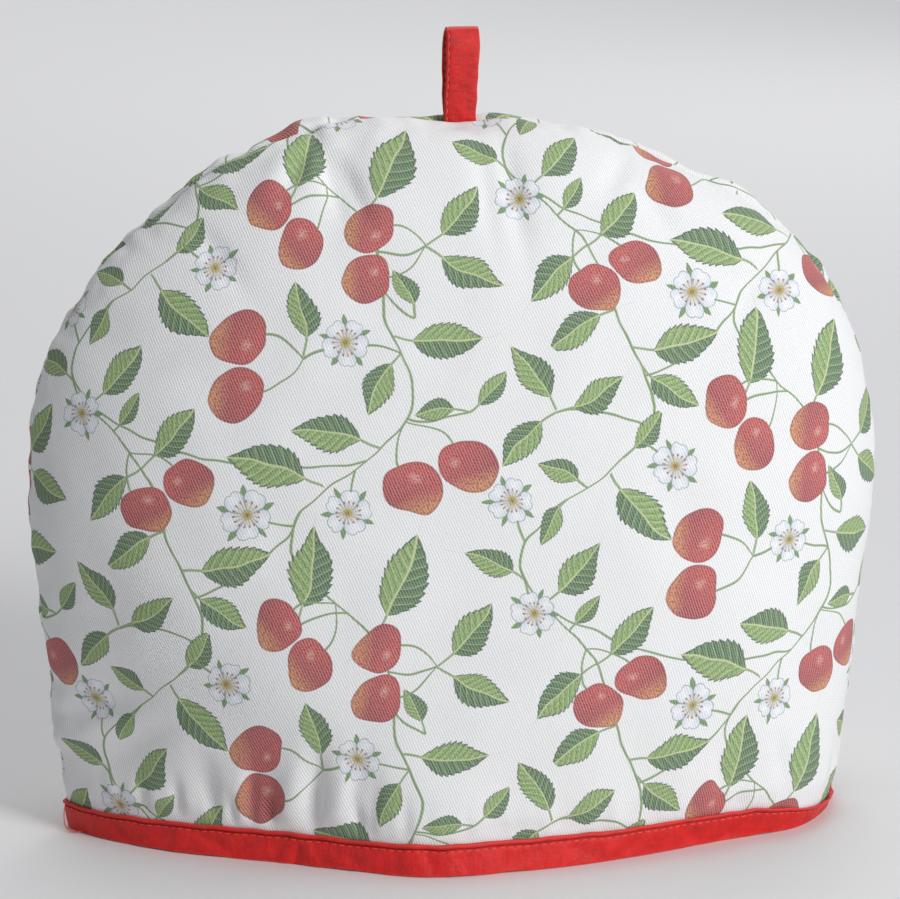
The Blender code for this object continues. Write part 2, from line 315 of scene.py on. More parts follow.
PUCKERS, PUCKER_SPREAD = ((11, 0.4, 0.7), (19, 2.1, 0.6), (31, 4.4, 0.45)), 11 * MM
MODEL_SHIFT = -1.9692 * MM

# The solids' own folds: side, place x and z, lean in degrees, half length, half width and depth in mm
MAIN_FOLDS = (
    ("front", -45, 251, 14, 22, 8, 3.0),
    ("front", 17, 247, -6, 30, 11, 1.6),
    ("front", 96, 217, -48, 20, 8, 1.8),
    ("front", -132, 62, 68, 30, 12, 3.0),
    ("front", -97, 24, -8, 15, 5, 1.7),
    ("front", -78, 26, 4, 17, 5, 1.9),
    ("front", -60, 27, 8, 19, 6, 2.0),
    ("front", -44, 27, 6, 17, 5, 1.8),
    ("front", 60, 30, -4, 24, 12, 1.2),
    ("front", 128, 78, -20, 34, 12, 1.8),
    ("back", 50, 249, -12, 24, 9, 2.6),
    ("back", -70, 232, 30, 22, 9, 2.0),
    ("back", 118, 66, -60, 30, 12, 2.6),
    ("back", 40, 27, 5, 18, 6, 1.8),
    ("back", -24, 28, -4, 20, 7, 1.8),
    ("back", -92, 30, 6, 18, 7, 1.6),
)
# Between tight places of the crown seam the back's edge stands up and the front's is drawn in: same columns
EDGE_SWELLS = (
    ("back", 74, 257, -70, 16, 30, 1.0),
    ("front", 74, 257, -70, 16, 30, -1.7),
    ("back", 110, 239, -54, 14, 30, 1.3),
    ("front", 110, 239, -54, 14, 30, -1.8),
    ("back", 143, 205, -36, 16, 30, 2.0),
    ("front", 143, 205, -36, 16, 30, -1.4),
    ("front", 1, 270, 90, 12, 30, -2.2),
    ("back", -58, 262, 72, 10, 30, 1.4),
    ("back", -100, 244, 56, 18, 30, 1.2),
)
FOLD_ON_LINING = 0.35
HEM_CLEAR = 14 * MM


# %% The dome's outline
def ease(value, start, end):
    """0 below start, 1 above end, and smooth between."""
    share = np.clip((value - start) / (end - start), 0.0, 1.0)
    return share * share * (3 - 2 * share)


def half_width(level):
    """Half the dome's width below its widest level."""
    share = np.maximum(0.0, (WIDEST_AT - level) / WIDEST_AT)
    return WIDTH / 2 - HEM_TUCK * share**HEM_TUCK_POWER


def edge_from(level, steps=2400):
    """The flat dome's edge from the right side at a level, over the crown, to the left side."""
    low = np.linspace(level, WIDEST_AT, steps // 3, endpoint=False)
    side = np.stack([half_width(low), low], axis=1)
    turn = np.linspace(0, math.pi, steps)
    across = np.sign(np.cos(turn)) * np.abs(np.cos(turn)) ** (2 / CROWN_POWER)
    up = np.maximum(0.0, np.sin(turn)) ** (2 / CROWN_POWER)
    rise = HEIGHT - PANEL_BASE - WIDEST_AT
    crown = np.stack([WIDTH / 2 * across, WIDEST_AT + rise * up], axis=1)
    return np.concatenate([side, crown, side[::-1] * (-1, 1)])


def run_along(line):
    return np.concatenate([[0.0], np.cumsum(np.hypot(*np.diff(line, axis=0).T))])


SEAM = edge_from(HEM_STRIP)
SEAM_ANGLES = np.arctan2(SEAM[:, 1] - HEM_STRIP, SEAM[:, 0])
SEAM_RADII = np.hypot(SEAM[:, 0], SEAM[:, 1] - HEM_STRIP)
EDGE = edge_from(0.0)
EDGE_RUN = run_along(EDGE)
print(f"seam {run_along(SEAM)[-1] / MM:.0f} mm, flat dome {EDGE[:, 0].max() * 2 / MM:.0f} mm wide")


def seam_from(x, level):
    """Each place's angle about the middle of the hem, and the seam's radius there."""
    in_strip = level <= HEM_STRIP
    angle = np.where(in_strip, np.where(x >= 0, 0.0, math.pi), np.arctan2(level - HEM_STRIP, x))
    return angle, np.where(in_strip, half_width(level), np.interp(angle, SEAM_ANGLES, SEAM_RADII))


# %% [markdown]
# A skin is worked out in three steps: how far it stands off the seam, the groove, puckers and folds in it,
# and then how the whole soft dome has settled to one side. Each step takes whole rows of numbers at once,
# so a panel of eighty thousand points takes a moment instead of a minute.


# %% A point of a skin
def bumps_at(bumps, x):
    """How high a table's rounded bumps are along x. Its rows are place, half width and height in mm."""
    return sum(height * MM * np.exp(-(((x / MM - at) / wide) ** 2)) for at, wide, height in bumps)


def folds_at(folds, side, x, z):
    """How deep a table's folds of one side are at each place."""
    total = np.zeros_like(x)
    for fold_side, fold_x, fold_z, lean, half_length, half_wide, depth in folds:
        if fold_side == side:
            lean = math.radians(lean)
            dx, dz = x / MM - fold_x, z / MM - fold_z
            along = (dz * math.cos(lean) + dx * math.sin(lean)) / half_length
            across = (dx * math.cos(lean) - dz * math.sin(lean)) / half_wide
            total += depth * MM * np.exp(-(along**2) - across**2)
    return total


def pucker(angle, off_seam):
    """How far the padded edge swells outwards beside the seam."""
    waves = sum(size * MM * np.sin(count * angle + phase) for count, phase, size in PUCKERS)
    return waves * np.exp(-((off_seam / PUCKER_SPREAD) ** 2)) * np.minimum(1.0, off_seam / (2 * MM))


def settle(x, y, z):
    """Points moved as the soft dome has settled.

    The top leans to the right, and the back's right side swells out. The front's hem is pushed out and in,
    its right side turns under, and the cloth sags over the right corner and a little over the left one.
    """
    right = ease(x, BEHIND_FROM_X, BEHIND_TO_X)
    behind = ease(y, BEHIND_FROM_Y, BEHIND_TO_Y)
    low = 1 - ease(z, BEHIND_FULL_Z, BEHIND_NO_Z)
    lean = CROWN_LEAN * (z / HEIGHT) ** 2
    lift = bumps_at(CROWN_LUMPS, x) * (np.maximum(z, 0.0) / HEIGHT) ** CROWN_LUMPS_POWER
    before = ease(-y, 0, TURN_FADES)
    turned = HEM_TURN * ease(x, TURN_FROM_X, TURN_TO_X) * (1 - ease(z, 0, TURN_UP_TO))
    y = y + before * (bumps_at(HEM_PUSHES, x) * (1 - ease(z, 0, PUSH_FADES)) + turned)
    sag = np.clip(z / BINDING_HEIGHT, 0, 1) * (1 - ease(z, BINDING_HEIGHT, DROP_FADES))
    lift = lift - sag * (CORNER_DROP * ease(x, DROP_FROM_X, DROP_TO_X) + bumps_at(LEFT_DROPS, x))
    return np.stack([x + lean + BEHIND_SWELL * right * behind * low + MODEL_SHIFT, y, z + lift], axis=-1)


def stand_off(x, level, inset):
    """How far a skin that lies inset inside the seam's line stands off the seam's plane."""
    _, radius = seam_from(x, level)
    reach = np.minimum(1.0, np.hypot(x, np.maximum(0.0, level - HEM_STRIP)) / radius)
    soft = (np.hypot(reach, SOFT_MIDDLE) - SOFT_MIDDLE) / (math.hypot(1, SOFT_MIDDLE) - SOFT_MIDDLE)
    swell = SWELL_AT_HEM + (SWELL - SWELL_AT_HEM) * ease(level, 0, SWELL_EVEN_AT)
    crease = ((1 - np.cos(np.arctan2(level, x))) / 2) ** CREASE_FADES
    power = EDGE_POWER_RIGHT + (EDGE_POWER_LEFT - EDGE_POWER_RIGHT) * crease
    return (DEPTH / 2 - inset) * np.maximum(0.0, 1 - soft**swell) ** power


def skin_points(side, x, level, outer, on_seam):
    """Points of a panel's outer skin or lining, over their places (x, level) on the flat dome."""
    angle, radius = seam_from(x, level)
    raised = np.maximum(0.0, level - HEM_STRIP)
    reach = np.where(on_seam, 1.0, np.hypot(x, raised) / radius)
    pressed = HEM_PRESS * (1 - ease(level, HEM_STRIP, HEM_STRIP + PRESS_FADES))
    inset = pressed if outer else WALL + (SEAM_WALL - WALL) * reach**4 - pressed
    away = np.where(on_seam, 0.0, stand_off(x, level, inset))
    shift = inset
    if outer:
        above_hem = ease(level, HEM_STRIP, 3 * HEM_STRIP)
        dips = sum(depth * MM * np.exp(-((away / MM / spread) ** 2)) for depth, spread in SEAM_DIPS)
        beside = np.exp(-(((away / MM - SWELL_MIDDLE) / SWELL_SPREAD) ** 2)) * np.minimum(1.0, away / (2 * MM))
        swelling = folds_at(EDGE_SWELLS, side, x, level) * beside
        shift = shift + above_hem * (dips - pucker(angle, away) - swelling)
    px = x * (1 - shift / radius)
    pz = level - raised * shift / radius
    folded = folds_at(MAIN_FOLDS, side, px, pz) * ease(pz, HEM_CLEAR - 1 * MM, HEM_CLEAR + 5 * MM)
    folded = folded * (1 if outer else FOLD_ON_LINING)
    away = GAP / 2 + away - np.minimum(folded, 0.6 * away)
    return settle(px, -away if side == "front" else away, pz + PANEL_BASE)


# %% [markdown]
# The dome has two corners, where the seam meets the hem, and a grid has four. The other two are put on the
# crown, halfway up each shoulder. Every crossing of the grid is then blended from the four sides, which is
# called a Coons patch, and the lines draw closer together towards the seam, where the cloth turns fastest.

# %% A grid on the flat dome
SHOULDER = math.radians(46)
CLOSER_ACROSS, CLOSER_UP = 1.9, 1.9
AT_EDGE = 0.9999


def edge_at(run):
    return np.stack([np.interp(run, EDGE_RUN, EDGE[:, 0]), np.interp(run, EDGE_RUN, EDGE[:, 1])], axis=1)


above_hem_edge = EDGE[:, 1] > HEM_STRIP
edge_angles = np.arctan2(EDGE[above_hem_edge, 1] - HEM_STRIP, EDGE[above_hem_edge, 0])
RIGHT_SHOULDER = np.interp(SHOULDER, edge_angles, EDGE_RUN[above_hem_edge])
LEFT_SHOULDER = EDGE_RUN[-1] - RIGHT_SHOULDER


def flat_places(across, up):
    """The flat dome's (x, level) at grid positions: across from -1 to 1, and up from 0 to 1."""
    s = 0.5 + 0.5 * np.sign(across) * (1 - (1 - np.abs(across)) ** CLOSER_ACROSS)
    t = 1 - (1 - up) ** CLOSER_UP
    hem = np.stack([(2 * s - 1) * half_width(0), np.zeros_like(s)], axis=1)
    crown = edge_at(LEFT_SHOULDER + (RIGHT_SHOULDER - LEFT_SHOULDER) * s)
    right = edge_at(RIGHT_SHOULDER * t)
    left = edge_at(EDGE_RUN[-1] - RIGHT_SHOULDER * t)
    s, t = s[:, None], t[:, None]
    shoulders = (1 - s) * edge_at([LEFT_SHOULDER]) + s * edge_at([RIGHT_SHOULDER])
    corners = (1 - t) * hem + t * shoulders
    return (1 - t) * hem + t * crown + (1 - s) * left + s * right - corners


# %% [markdown]
# The seam opens a little round the loop's two feet. The opening is a smooth bulge, as stiff cloth makes.

# %% One skin of a panel
FOOT_HALF_WIDE, FOOT_HALF_THICK = 6.5 * MM, 2.3 * MM
FOOT_OPENS_WITHIN, FOOT_LOW = 5 * MM, 250 * MM
FOOT_X = (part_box("hanging_loop")[0].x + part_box("hanging_loop")[1].x) / 2


def opened(points):
    """Moves the points near the seam aside for the loop's feet."""
    x, y, z = points.T
    beside = np.exp(-(((x - FOOT_X) / (FOOT_HALF_WIDE * 1.25)) ** 4))
    near = np.exp(-((y / FOOT_OPENS_WITHIN) ** 2)) * ease(z, FOOT_LOW, FOOT_LOW + 10 * MM)
    return np.stack([x, y + np.sign(y) * FOOT_HALF_THICK * beside * near, z], axis=1)


def add_skin(bm, side, outer, columns, rows):
    """Lays a grid over the dome as one skin. Gives its vertices and their grid positions."""
    made = bmesh.ops.create_grid(bm, x_segments=columns, y_segments=rows, size=1.0)["verts"]
    across = np.array([v.co.x for v in made])
    up = np.array([(v.co.y + 1) / 2 for v in made])
    on_seam = (np.abs(across) > AT_EDGE) | (up > AT_EDGE)
    x, level = flat_places(across if side == "front" else -across, up).T
    points = opened(skin_points(side, x, level, outer, on_seam))
    for vertex, point in zip(made, points):
        vertex.co = point
    return made, np.stack([across, up], axis=1)


# %% [markdown]
# The print has to lie on the cloth as it lay before sewing. Unwrapping a coarse copy of the outer skin with
# least stretch gives each place on the flat cloth. The unwrapped shape comes in no particular size or
# turn, so it is scaled, turned and moved until it agrees with the panel's own width and height near its
# middle. The fine skin then reads its places from the coarse one.

# %% Flat cloth coordinates
FLAT_COLUMNS, FLAT_ROWS = 48, 36
UNWRAP_ROUNDS = 40
LEVEL_WITHIN = 90 * MM
CLOTH_SHIFTS = {"front": (0.0, 0.0), "back": (0.061, 0.038)}


def finished(name, bm, materials):
    """An object from a bmesh, with its materials, shown smooth."""
    mesh = bpy.data.meshes.new(name)
    bm.to_mesh(mesh)
    bm.free()
    for material in materials:
        mesh.materials.append(material)
    mesh.shade_smooth()
    piece = bpy.data.objects.new(name, mesh)
    bpy.context.scene.collection.objects.link(piece)
    return piece


def flat_cloth(side):
    """The flat cloth's coordinates in metres at every crossing of the coarse grid, as [row, column]."""
    bm = bmesh.new()
    _, crossings = add_skin(bm, side, True, FLAT_COLUMNS, FLAT_ROWS)
    piece = finished(f"{side}_flat", bm, [])
    mesh = piece.data
    mesh.uv_layers.new(name="flat")
    for other in bpy.context.view_layer.objects:
        other.select_set(False)
    piece.select_set(True)
    bpy.context.view_layer.objects.active = piece
    bpy.ops.object.mode_set(mode="EDIT")
    bpy.ops.mesh.select_all(action="SELECT")
    bpy.ops.uv.unwrap(method="MINIMUM_STRETCH", iterations=UNWRAP_ROUNDS)
    bpy.ops.object.mode_set(mode="OBJECT")
    flat = np.zeros((len(mesh.vertices), 2))
    for loop_corner, uv in zip(mesh.loops, mesh.uv_layers["flat"].data):
        flat[loop_corner.vertex_index] = uv.uv
    places = np.array([v.co for v in mesh.vertices])
    bpy.data.objects.remove(piece)
    near = (np.abs(places[:, 0]) < LEVEL_WITHIN) & (np.abs(places[:, 1]) > 0.6 * np.abs(places[:, 1]).max())
    across = places[near, 0] * (1 if side == "front" else -1)
    seen = np.stack([across, places[near, 2]], axis=1)
    flat_middle, seen_middle = flat[near].mean(axis=0), seen.mean(axis=0)
    turn, sizes, back = np.linalg.svd((flat[near] - flat_middle).T @ (seen - seen_middle))
    size = sizes.sum() / ((flat[near] - flat_middle) ** 2).sum()
    laid = (flat - flat_middle) @ (turn @ back) * size + seen_middle + np.array(CLOTH_SHIFTS[side])
    by_row = np.lexsort(np.round(crossings, 4).T)
    table = laid[by_row].reshape(FLAT_ROWS + 1, FLAT_COLUMNS + 1, 2)
    width = np.hypot(*np.diff(table[FLAT_ROWS // 3], axis=0).T).sum()
    height = np.hypot(*np.diff(table[:, FLAT_COLUMNS // 2], axis=0).T).sum()
    print(f"{side}: flat cloth {width / MM:.0f} mm across, {height / MM:.0f} mm up the middle")
    return table


def read_flat(table, across, up):
    """The flat cloth's places at grid positions, between the coarse crossings."""
    column = (across + 1) / 2 * FLAT_COLUMNS
    row = up * FLAT_ROWS
    i = np.minimum(row.astype(int), FLAT_ROWS - 1)
    j = np.minimum(column.astype(int), FLAT_COLUMNS - 1)
    rest_row, rest_column = (row - i)[:, None], (column - j)[:, None]
    low = table[i, j] * (1 - rest_column) + table[i, j + 1] * rest_column
    high = table[i + 1, j] * (1 - rest_column) + table[i + 1, j + 1] * rest_column
    return low * (1 - rest_row) + high * rest_row


# %% [markdown]
# Finer folds than the solid's are pressed in, one by one. Each is a soft trough or ridge with its own place,
# lean, length, width and depth: upright tucks that the binding gathers over the hem, short puckers that
# the turned seam pulls, and long lazy hollows where the wadding is loose.

# %% Fine folds
FINE_FOLDS = (
    # Tucks over the hem
    ("front", -122, 20, -8, 6, 2.0, 1.3),
    ("front", -110, 21, -4, 8, 2.2, 1.5),
    ("front", -97, 24, -6, 10, 3.0, 1.2),
    ("front", -90, 19, -10, 5, 1.8, 1.7),
    ("front", -83, 27, 0, 13, 2.8, 1.6),
    ("front", -76, 22, 3, 8, 2.4, 2.2),
    ("front", -68, 29, 5, 15, 4.0, -1.7),
    ("front", -60, 27, 5, 14, 2.8, 2.8),
    ("front", -51, 28, 6, 13, 3.4, -1.3),
    ("front", -45, 20, -6, 6, 1.8, 1.9),
    ("front", -40, 26, 8, 11, 2.8, 1.3),
    ("front", -28, 21, -3, 8, 2.6, 1.0),
    ("front", 30, 22, 0, 9, 4.0, 0.6),
    ("front", 92, 26, 4, 10, 3.4, 0.8),
    ("front", 118, 30, -12, 11, 3.4, 1.1),
    # The dent low on the left
    ("front", -141, 52, 64, 15, 4.4, 3.2),
    ("front", -143, 41, 70, 12, 4.0, -1.6),
    ("front", -126, 40, 50, 18, 6, 2.4),
    ("front", -134, 92, 78, 16, 6, 1.0),
    # Puckers under the crown seam
    ("front", -60, 258, 30, 12, 3.0, 2.4),
    ("front", -50, 254, -16, 13, 3.0, 2.2),
    ("front", -70, 252, 52, 12, 4.0, -1.2),
    ("front", -43, 250, -28, 15, 3.4, 1.8),
    ("front", 7, 248, -4, 16, 3.6, 1.3),
    ("front", 17, 246, -8, 18, 3.8, 1.8),
    ("front", 56, 251, 40, 9, 4.6, 2.0),
    ("front", 70, 240, -36, 12, 4.0, 1.4),
    ("front", 104, 206, 40, 14, 4.6, 1.2),
    ("front", -92, 226, -38, 14, 4.6, 1.4),
    ("front", -118, 186, 62, 16, 6, 1.0),
    # Lazy hollows
    ("front", 40, 60, 62, 34, 12, 0.6),
    ("front", 96, 120, -58, 40, 14, 0.7),
    ("front", -60, 150, 70, 44, 16, 0.7),
    # The back's crown, tucks and hollows
    ("back", -62, 262, 62, 16, 5, -2.6),
    ("back", -92, 246, 50, 13, 5, -1.6),
    ("back", -78, 256, -30, 8, 2.6, 1.8),
    ("back", -44, 264, -14, 7, 2.4, 1.6),
    ("back", 46, 256, -50, 12, 5, -1.6),
    ("back", 62, 250, -20, 10, 3.0, 1.6),
    ("back", 88, 232, -52, 16, 5, -1.8),
    ("back", 46, 246, -12, 14, 3.6, 1.6),
    ("back", 10, 250, 8, 10, 3.4, 1.2),
    ("back", -100, 208, 44, 14, 5, 1.3),
    ("back", 58, 26, 5, 12, 3.0, 1.9),
    ("back", 48, 28, 4, 12, 3.4, -0.9),
    ("back", 22, 25, -4, 11, 2.8, 1.4),
    ("back", -40, 26, 3, 12, 3.0, 1.8),
    ("back", -50, 28, 3, 12, 3.4, -0.9),
    ("back", -76, 27, -6, 11, 3.0, 1.5),
    ("back", -108, 28, 6, 10, 3.0, 1.2),
    ("back", 112, 44, -55, 22, 5, 2.0),
    ("back", 30, 120, 60, 44, 14, 0.8),
    ("back", -70, 110, -64, 40, 14, 0.8),
)
RIPPLE_SIZE, RIPPLE_DEPTH = 24 * MM, 0.9 * MM
SEAM_RIPPLE_SIZE, SEAM_RIPPLE_DEPTH, SEAM_RIPPLE_WITHIN = 7 * MM, 1.3 * MM, 12 * MM
HEM_RIPPLE_SIZE, HEM_RIPPLE_DEPTH, HEM_RIPPLE_WITHIN = 6 * MM, 1.0 * MM, 12 * MM


def wavy(points, size, flatten=1.0):
    """Smooth noise from about -1 to 1 at each point, drawn out upwards where flatten is over 1."""
    return np.array([noise.noise((x, y, z)) for x, y, z in points / (size, size, size * flatten)])


def press(side, points):
    """How far the cloth is pressed in at each point of the outside."""
    x, y, z = points.T
    off_seam = np.abs(y)
    depth = folds_at(FINE_FOLDS, side, x, z) + RIPPLE_DEPTH * wavy(points, RIPPLE_SIZE)
    beside_seam = np.exp(-((off_seam / SEAM_RIPPLE_WITHIN) ** 2))
    depth += SEAM_RIPPLE_DEPTH * beside_seam * wavy(points, SEAM_RIPPLE_SIZE)
    over_hem = np.exp(-(((z - BINDING_HEIGHT) / HEM_RIPPLE_WITHIN) ** 2))
    depth += HEM_RIPPLE_DEPTH * over_hem * wavy(points, HEM_RIPPLE_SIZE, flatten=4)
    return depth * ease(z, BINDING_HEIGHT, BINDING_HEIGHT + 4 * MM) * ease(off_seam, 0.3 * MM, 2.5 * MM)


# %% [markdown]
# ## The print
# The cloth is printed with cherries, toothed leaves and white blossoms on thin wandering stems. One
# repeat is drawn and set like bricks on end: each column of repeats is dropped by half. A drawing is made
# once and stamped many times: at each point the shader asks which stamp is nearest, and then draws that
# one stamp from its own middle. The stamps stand in short tables, so moving a leaf is changing one row.

# %% Repeat and stamps
TILE_WIDE, TILE_HIGH = 164.0, 152.0
WOBBLE = 1.1
WOBBLE_SIZE = 11.0
FULL_TURN = 2 * math.pi


def cloth_place(start):
    """The place on the flat cloth in millimetres."""
    return start.node("ShaderNodeUVMap", {"uv_map": "Cloth"}).vector("MULTIPLY", (1000, 1000, 0))


def within_repeat(flat):
    """The same place within one repeat, gently wobbled as a hand would draw."""
    u, v, _ = flat.axes()
    column = (u / TILE_WIDE).floor()
    x = u - column * TILE_WIDE
    y = (v + column * (TILE_HIGH / 2)) % TILE_HIGH
    drift = flat.clouds(1 / WOBBLE_SIZE, 0.0, output=1)
    drift = drift.vector("SUBTRACT", (0.5, 0.5, 0.5)).vector("MULTIPLY", (WOBBLE * 2, WOBBLE * 2, 0))
    return flat.node("ShaderNodeCombineXYZ", None, {0: x, 1: y}).vector("ADD", drift)


def with_twins(stamps, reach):
    """The stamps of one repeat, and those of its neighbours that reach into it."""
    found = []
    for x, y, turn, size in stamps:
        coded = math.radians(turn) % FULL_TURN + FULL_TURN * size
        for across in (-1, 0, 1):
            for up in (-2, -1, 0, 1, 2):
                near_x = x + across * TILE_WIDE
                near_y = y + up * TILE_HIGH - across * TILE_HIGH / 2
                gap_x = max(-near_x, 0, near_x - TILE_WIDE)
                gap_y = max(-near_y, 0, near_y - TILE_HIGH)
                if math.hypot(gap_x, gap_y) < reach * size:
                    found.append((near_x, near_y, coded))
    return found


def nearest(place, stamps, reach):
    """At each place, the nearest stamp as seen from its middle, upright and in its own size: x, y, size."""
    best = chosen = None
    for stamp in with_twins(stamps, reach):
        gap = place.vector("DISTANCE", (*stamp[:2], 0), output=1)
        if best is None:
            best, chosen = gap, stamp
            continue
        closer = gap.math("LESS_THAN", gap, best)
        chosen = closer.node("ShaderNodeMix", {"data_type": "VECTOR"}, {0: closer, 4: chosen, 5: stamp}, 1)
        best = best.least(gap)
    offset = place.vector("SUBTRACT", chosen)
    turn_back = offset.axes()[2]
    size = (turn_back * (-1 / FULL_TURN)).floor()
    turning = {"Vector": offset, "Angle": turn_back}
    upright = offset.node("ShaderNodeVectorRotate", {"rotation_type": "Z_AXIS"}, turning)
    x, y, _ = upright.axes()
    return x / size, y / size, size


# %% [markdown]
# A leaf is a width that swells and closes along its midrib. A sawtooth along the same line cuts the teeth.
# Side veins run forward from the midrib, one half is in the light, and the other is in shade. Fine
# stippling breaks up the colour as a printed engraving does.

# %% Leaf
LEAF_STALK = 0.30
LEAF_MIDDLE = 0.42
LEAF_REACH = 0.75
LEAF_DARK, LEAF_SHADE = colour(54, 92, 50), colour(106, 144, 80)
LEAF_LIT, LEAF_PALE = colour(104, 148, 68), colour(180, 202, 116)
LEAF_RIM, LEAF_VEIN = colour(46, 80, 46), colour(196, 210, 142)
STEM_GREEN = colour(122, 154, 90)
STEM_HALF = 0.42


def stem_line(off_middle, size, along, start, end):
    """Where a stem prints: near its middle line, between two places along it."""
    line = (off_middle * size).below(STEM_HALF, soft=0.35)
    return line * along.above(start, soft=0.02) * along.below(end, soft=0.02)


def draw_leaves(under, place, stamps, stipple):
    x, y, size = nearest(place, stamps, LEAF_REACH)
    along = y + LEAF_MIDDLE
    across = x + along * along * 0.17 - 0.02
    off = abs(across)
    swell = ((along.clamped() ** 0.82) * math.pi).sine()
    width = swell * (along * 10.5).part().times_plus(0.042, 0.25)
    room = width - off
    veins = ((along - off * 0.8) * 8.5).part()
    lit = across.below(0.0, soft=0.04)
    green = lit.mix(veins.mix(LEAF_SHADE, LEAF_DARK), veins.mix(LEAF_PALE, LEAF_LIT))
    green = (stipple * 0.45).mix(green, LEAF_DARK)
    green = (veins.below(0.1, soft=0.12) * 0.5).mix(green, LEAF_VEIN)
    green = room.below(0.022, soft=0.02).mix(green, LEAF_RIM)
    green = off.below(0.012, soft=0.012).mix(green, LEAF_VEIN)
    stalk = stem_line(off, size, along, -LEAF_STALK, 0.1)
    under = stalk.mix(under, STEM_GREEN)
    return room.above(0.0, soft=0.012).mix(under, green)


# %% [markdown]
# Cherries hang in pairs. Folding the drawing down its middle draws both with one sum, and a slant lets one
# hang lower. The fruit is a circle with a dimple, red where the light falls and deep red round the rim,
# and its far end is blushed with yellow. The same stippling lies over it, and over its small highlight.

# %% Cherries
CHERRY_REACH = 2.6
CHERRY_ROOT = 1.75
CHERRY_DEEP, CHERRY_RED = colour(140, 34, 36), colour(212, 78, 62)
CHERRY_BLUSH, CHERRY_SHINE = colour(238, 172, 92), colour(244, 196, 172)
APART, BELOW_MIDDLE, SLANT = 1.03, 0.72, 0.16


def draw_cherries(under, place, stamps, stipple):
    x, y, size = nearest(place, stamps, CHERRY_REACH)
    lower = y + x * SLANT
    side = abs(x) - APART
    down = lower - BELOW_MIDDLE
    from_middle = side.length_with(abs(side) * 0.15 + down)
    up_stem = (down + 0.86) * (-1 / (CHERRY_ROOT + BELOW_MIDDLE - 0.86))
    stem_side = up_stem * up_stem * APART + side
    under = stem_line(abs(stem_side), size, up_stem, 0.0, 1.0).mix(under, STEM_GREEN)
    light = (down * -0.34 - side * 0.22 + 0.62).clamped()
    red = light.mix(CHERRY_DEEP, CHERRY_RED)
    red = ((down - 0.2) * 1.15).clamped().mix(red, CHERRY_BLUSH)
    red = (stipple * 0.7).mix(red, CHERRY_DEEP)
    red = (from_middle.above(0.93, soft=0.1) * 0.6).mix(red, CHERRY_DEEP)
    shine = (side + 0.3).length_with(down + 0.36)
    red = (shine.below(0.14, soft=0.26) * (0.62 - stipple * 0.4)).mix(red, CHERRY_SHINE)
    return from_middle.below(1.0, soft=0.035).mix(under, red)


# %% [markdown]
# A blossom is drawn round its middle: the angle, taken five times, gives the petals, and the distance from
# the middle gives their edge. White petals show on white cloth by their grey outlines and cool shadows.

# %% Blossom
BLOSSOM_REACH = 1.9
BLOSSOM_ROOT = 1.75
PETALS, STAMENS = 5, 15
PETAL_WHITE, PETAL_SHADE = colour(246, 247, 250), colour(206, 216, 226)
PETAL_LINE, POLLEN = colour(134, 152, 164), colour(206, 164, 90)
POLLEN_DARK, BLOSSOM_EYE = colour(160, 104, 48), colour(178, 172, 84)


def draw_blossoms(under, place, stamps):
    x, y, size = nearest(place, stamps, BLOSSOM_REACH)
    out = x.length_with(y)
    turn = x.math("ARCTAN2", x, y)
    across_petal = abs((turn * (PETALS / FULL_TURN)).part() - 0.5) * 2
    under = stem_line(abs(x), size, y, -BLOSSOM_ROOT, -0.5).mix(under, STEM_GREEN)
    leaf_swell = (((out - 0.5) * 1.6).clamped() * math.pi).sine()
    sepal = ((1 - across_petal) * out * 0.63).below(leaf_swell * 0.11, soft=0.03)
    under = (sepal * leaf_swell.above(0.05)).mix(under, LEAF_SHADE)
    rim = 0.96 - across_petal**3 * 0.34 - (1 - across_petal) ** 5 * 0.10
    room = rim - out
    petal = (across_petal * 0.75).mix(PETAL_WHITE, PETAL_SHADE)
    petal = out.below(0.42, soft=0.3).mix(petal, PETAL_SHADE)
    petal = across_petal.above(0.93, soft=0.1).mix(petal, PETAL_LINE)
    petal = (room.below(0.035, soft=0.04) * 0.9).mix(petal, PETAL_LINE)
    thread = (turn * STAMENS).sine().above(0.45, soft=0.5)
    petal = (thread * out.below(0.46, soft=0.04) * 0.8).mix(petal, POLLEN)
    anther = thread * abs(out - 0.46).below(0.045, soft=0.03)
    petal = anther.mix(petal, POLLEN_DARK)
    petal = out.below(0.2, soft=0.06).mix(petal, BLOSSOM_EYE)
    petal = out.below(0.09, soft=0.06).mix(petal, POLLEN_DARK)
    return room.above(0.0, soft=0.02).mix(under, petal)


# %% [markdown]
# Two long vines wander up each repeat. Bowed branches run from one to the other, and short shoots reach
# into the gaps. Leaves, cherries and blossoms are listed by where their stalk leaves a vine, or by the
# shoot whose tip they stand on, so that the print hangs together as one plant. Sizes are millimetres: a
# leaf's length, a cherry's or blossom's radius, and half the length of a bowed stem.

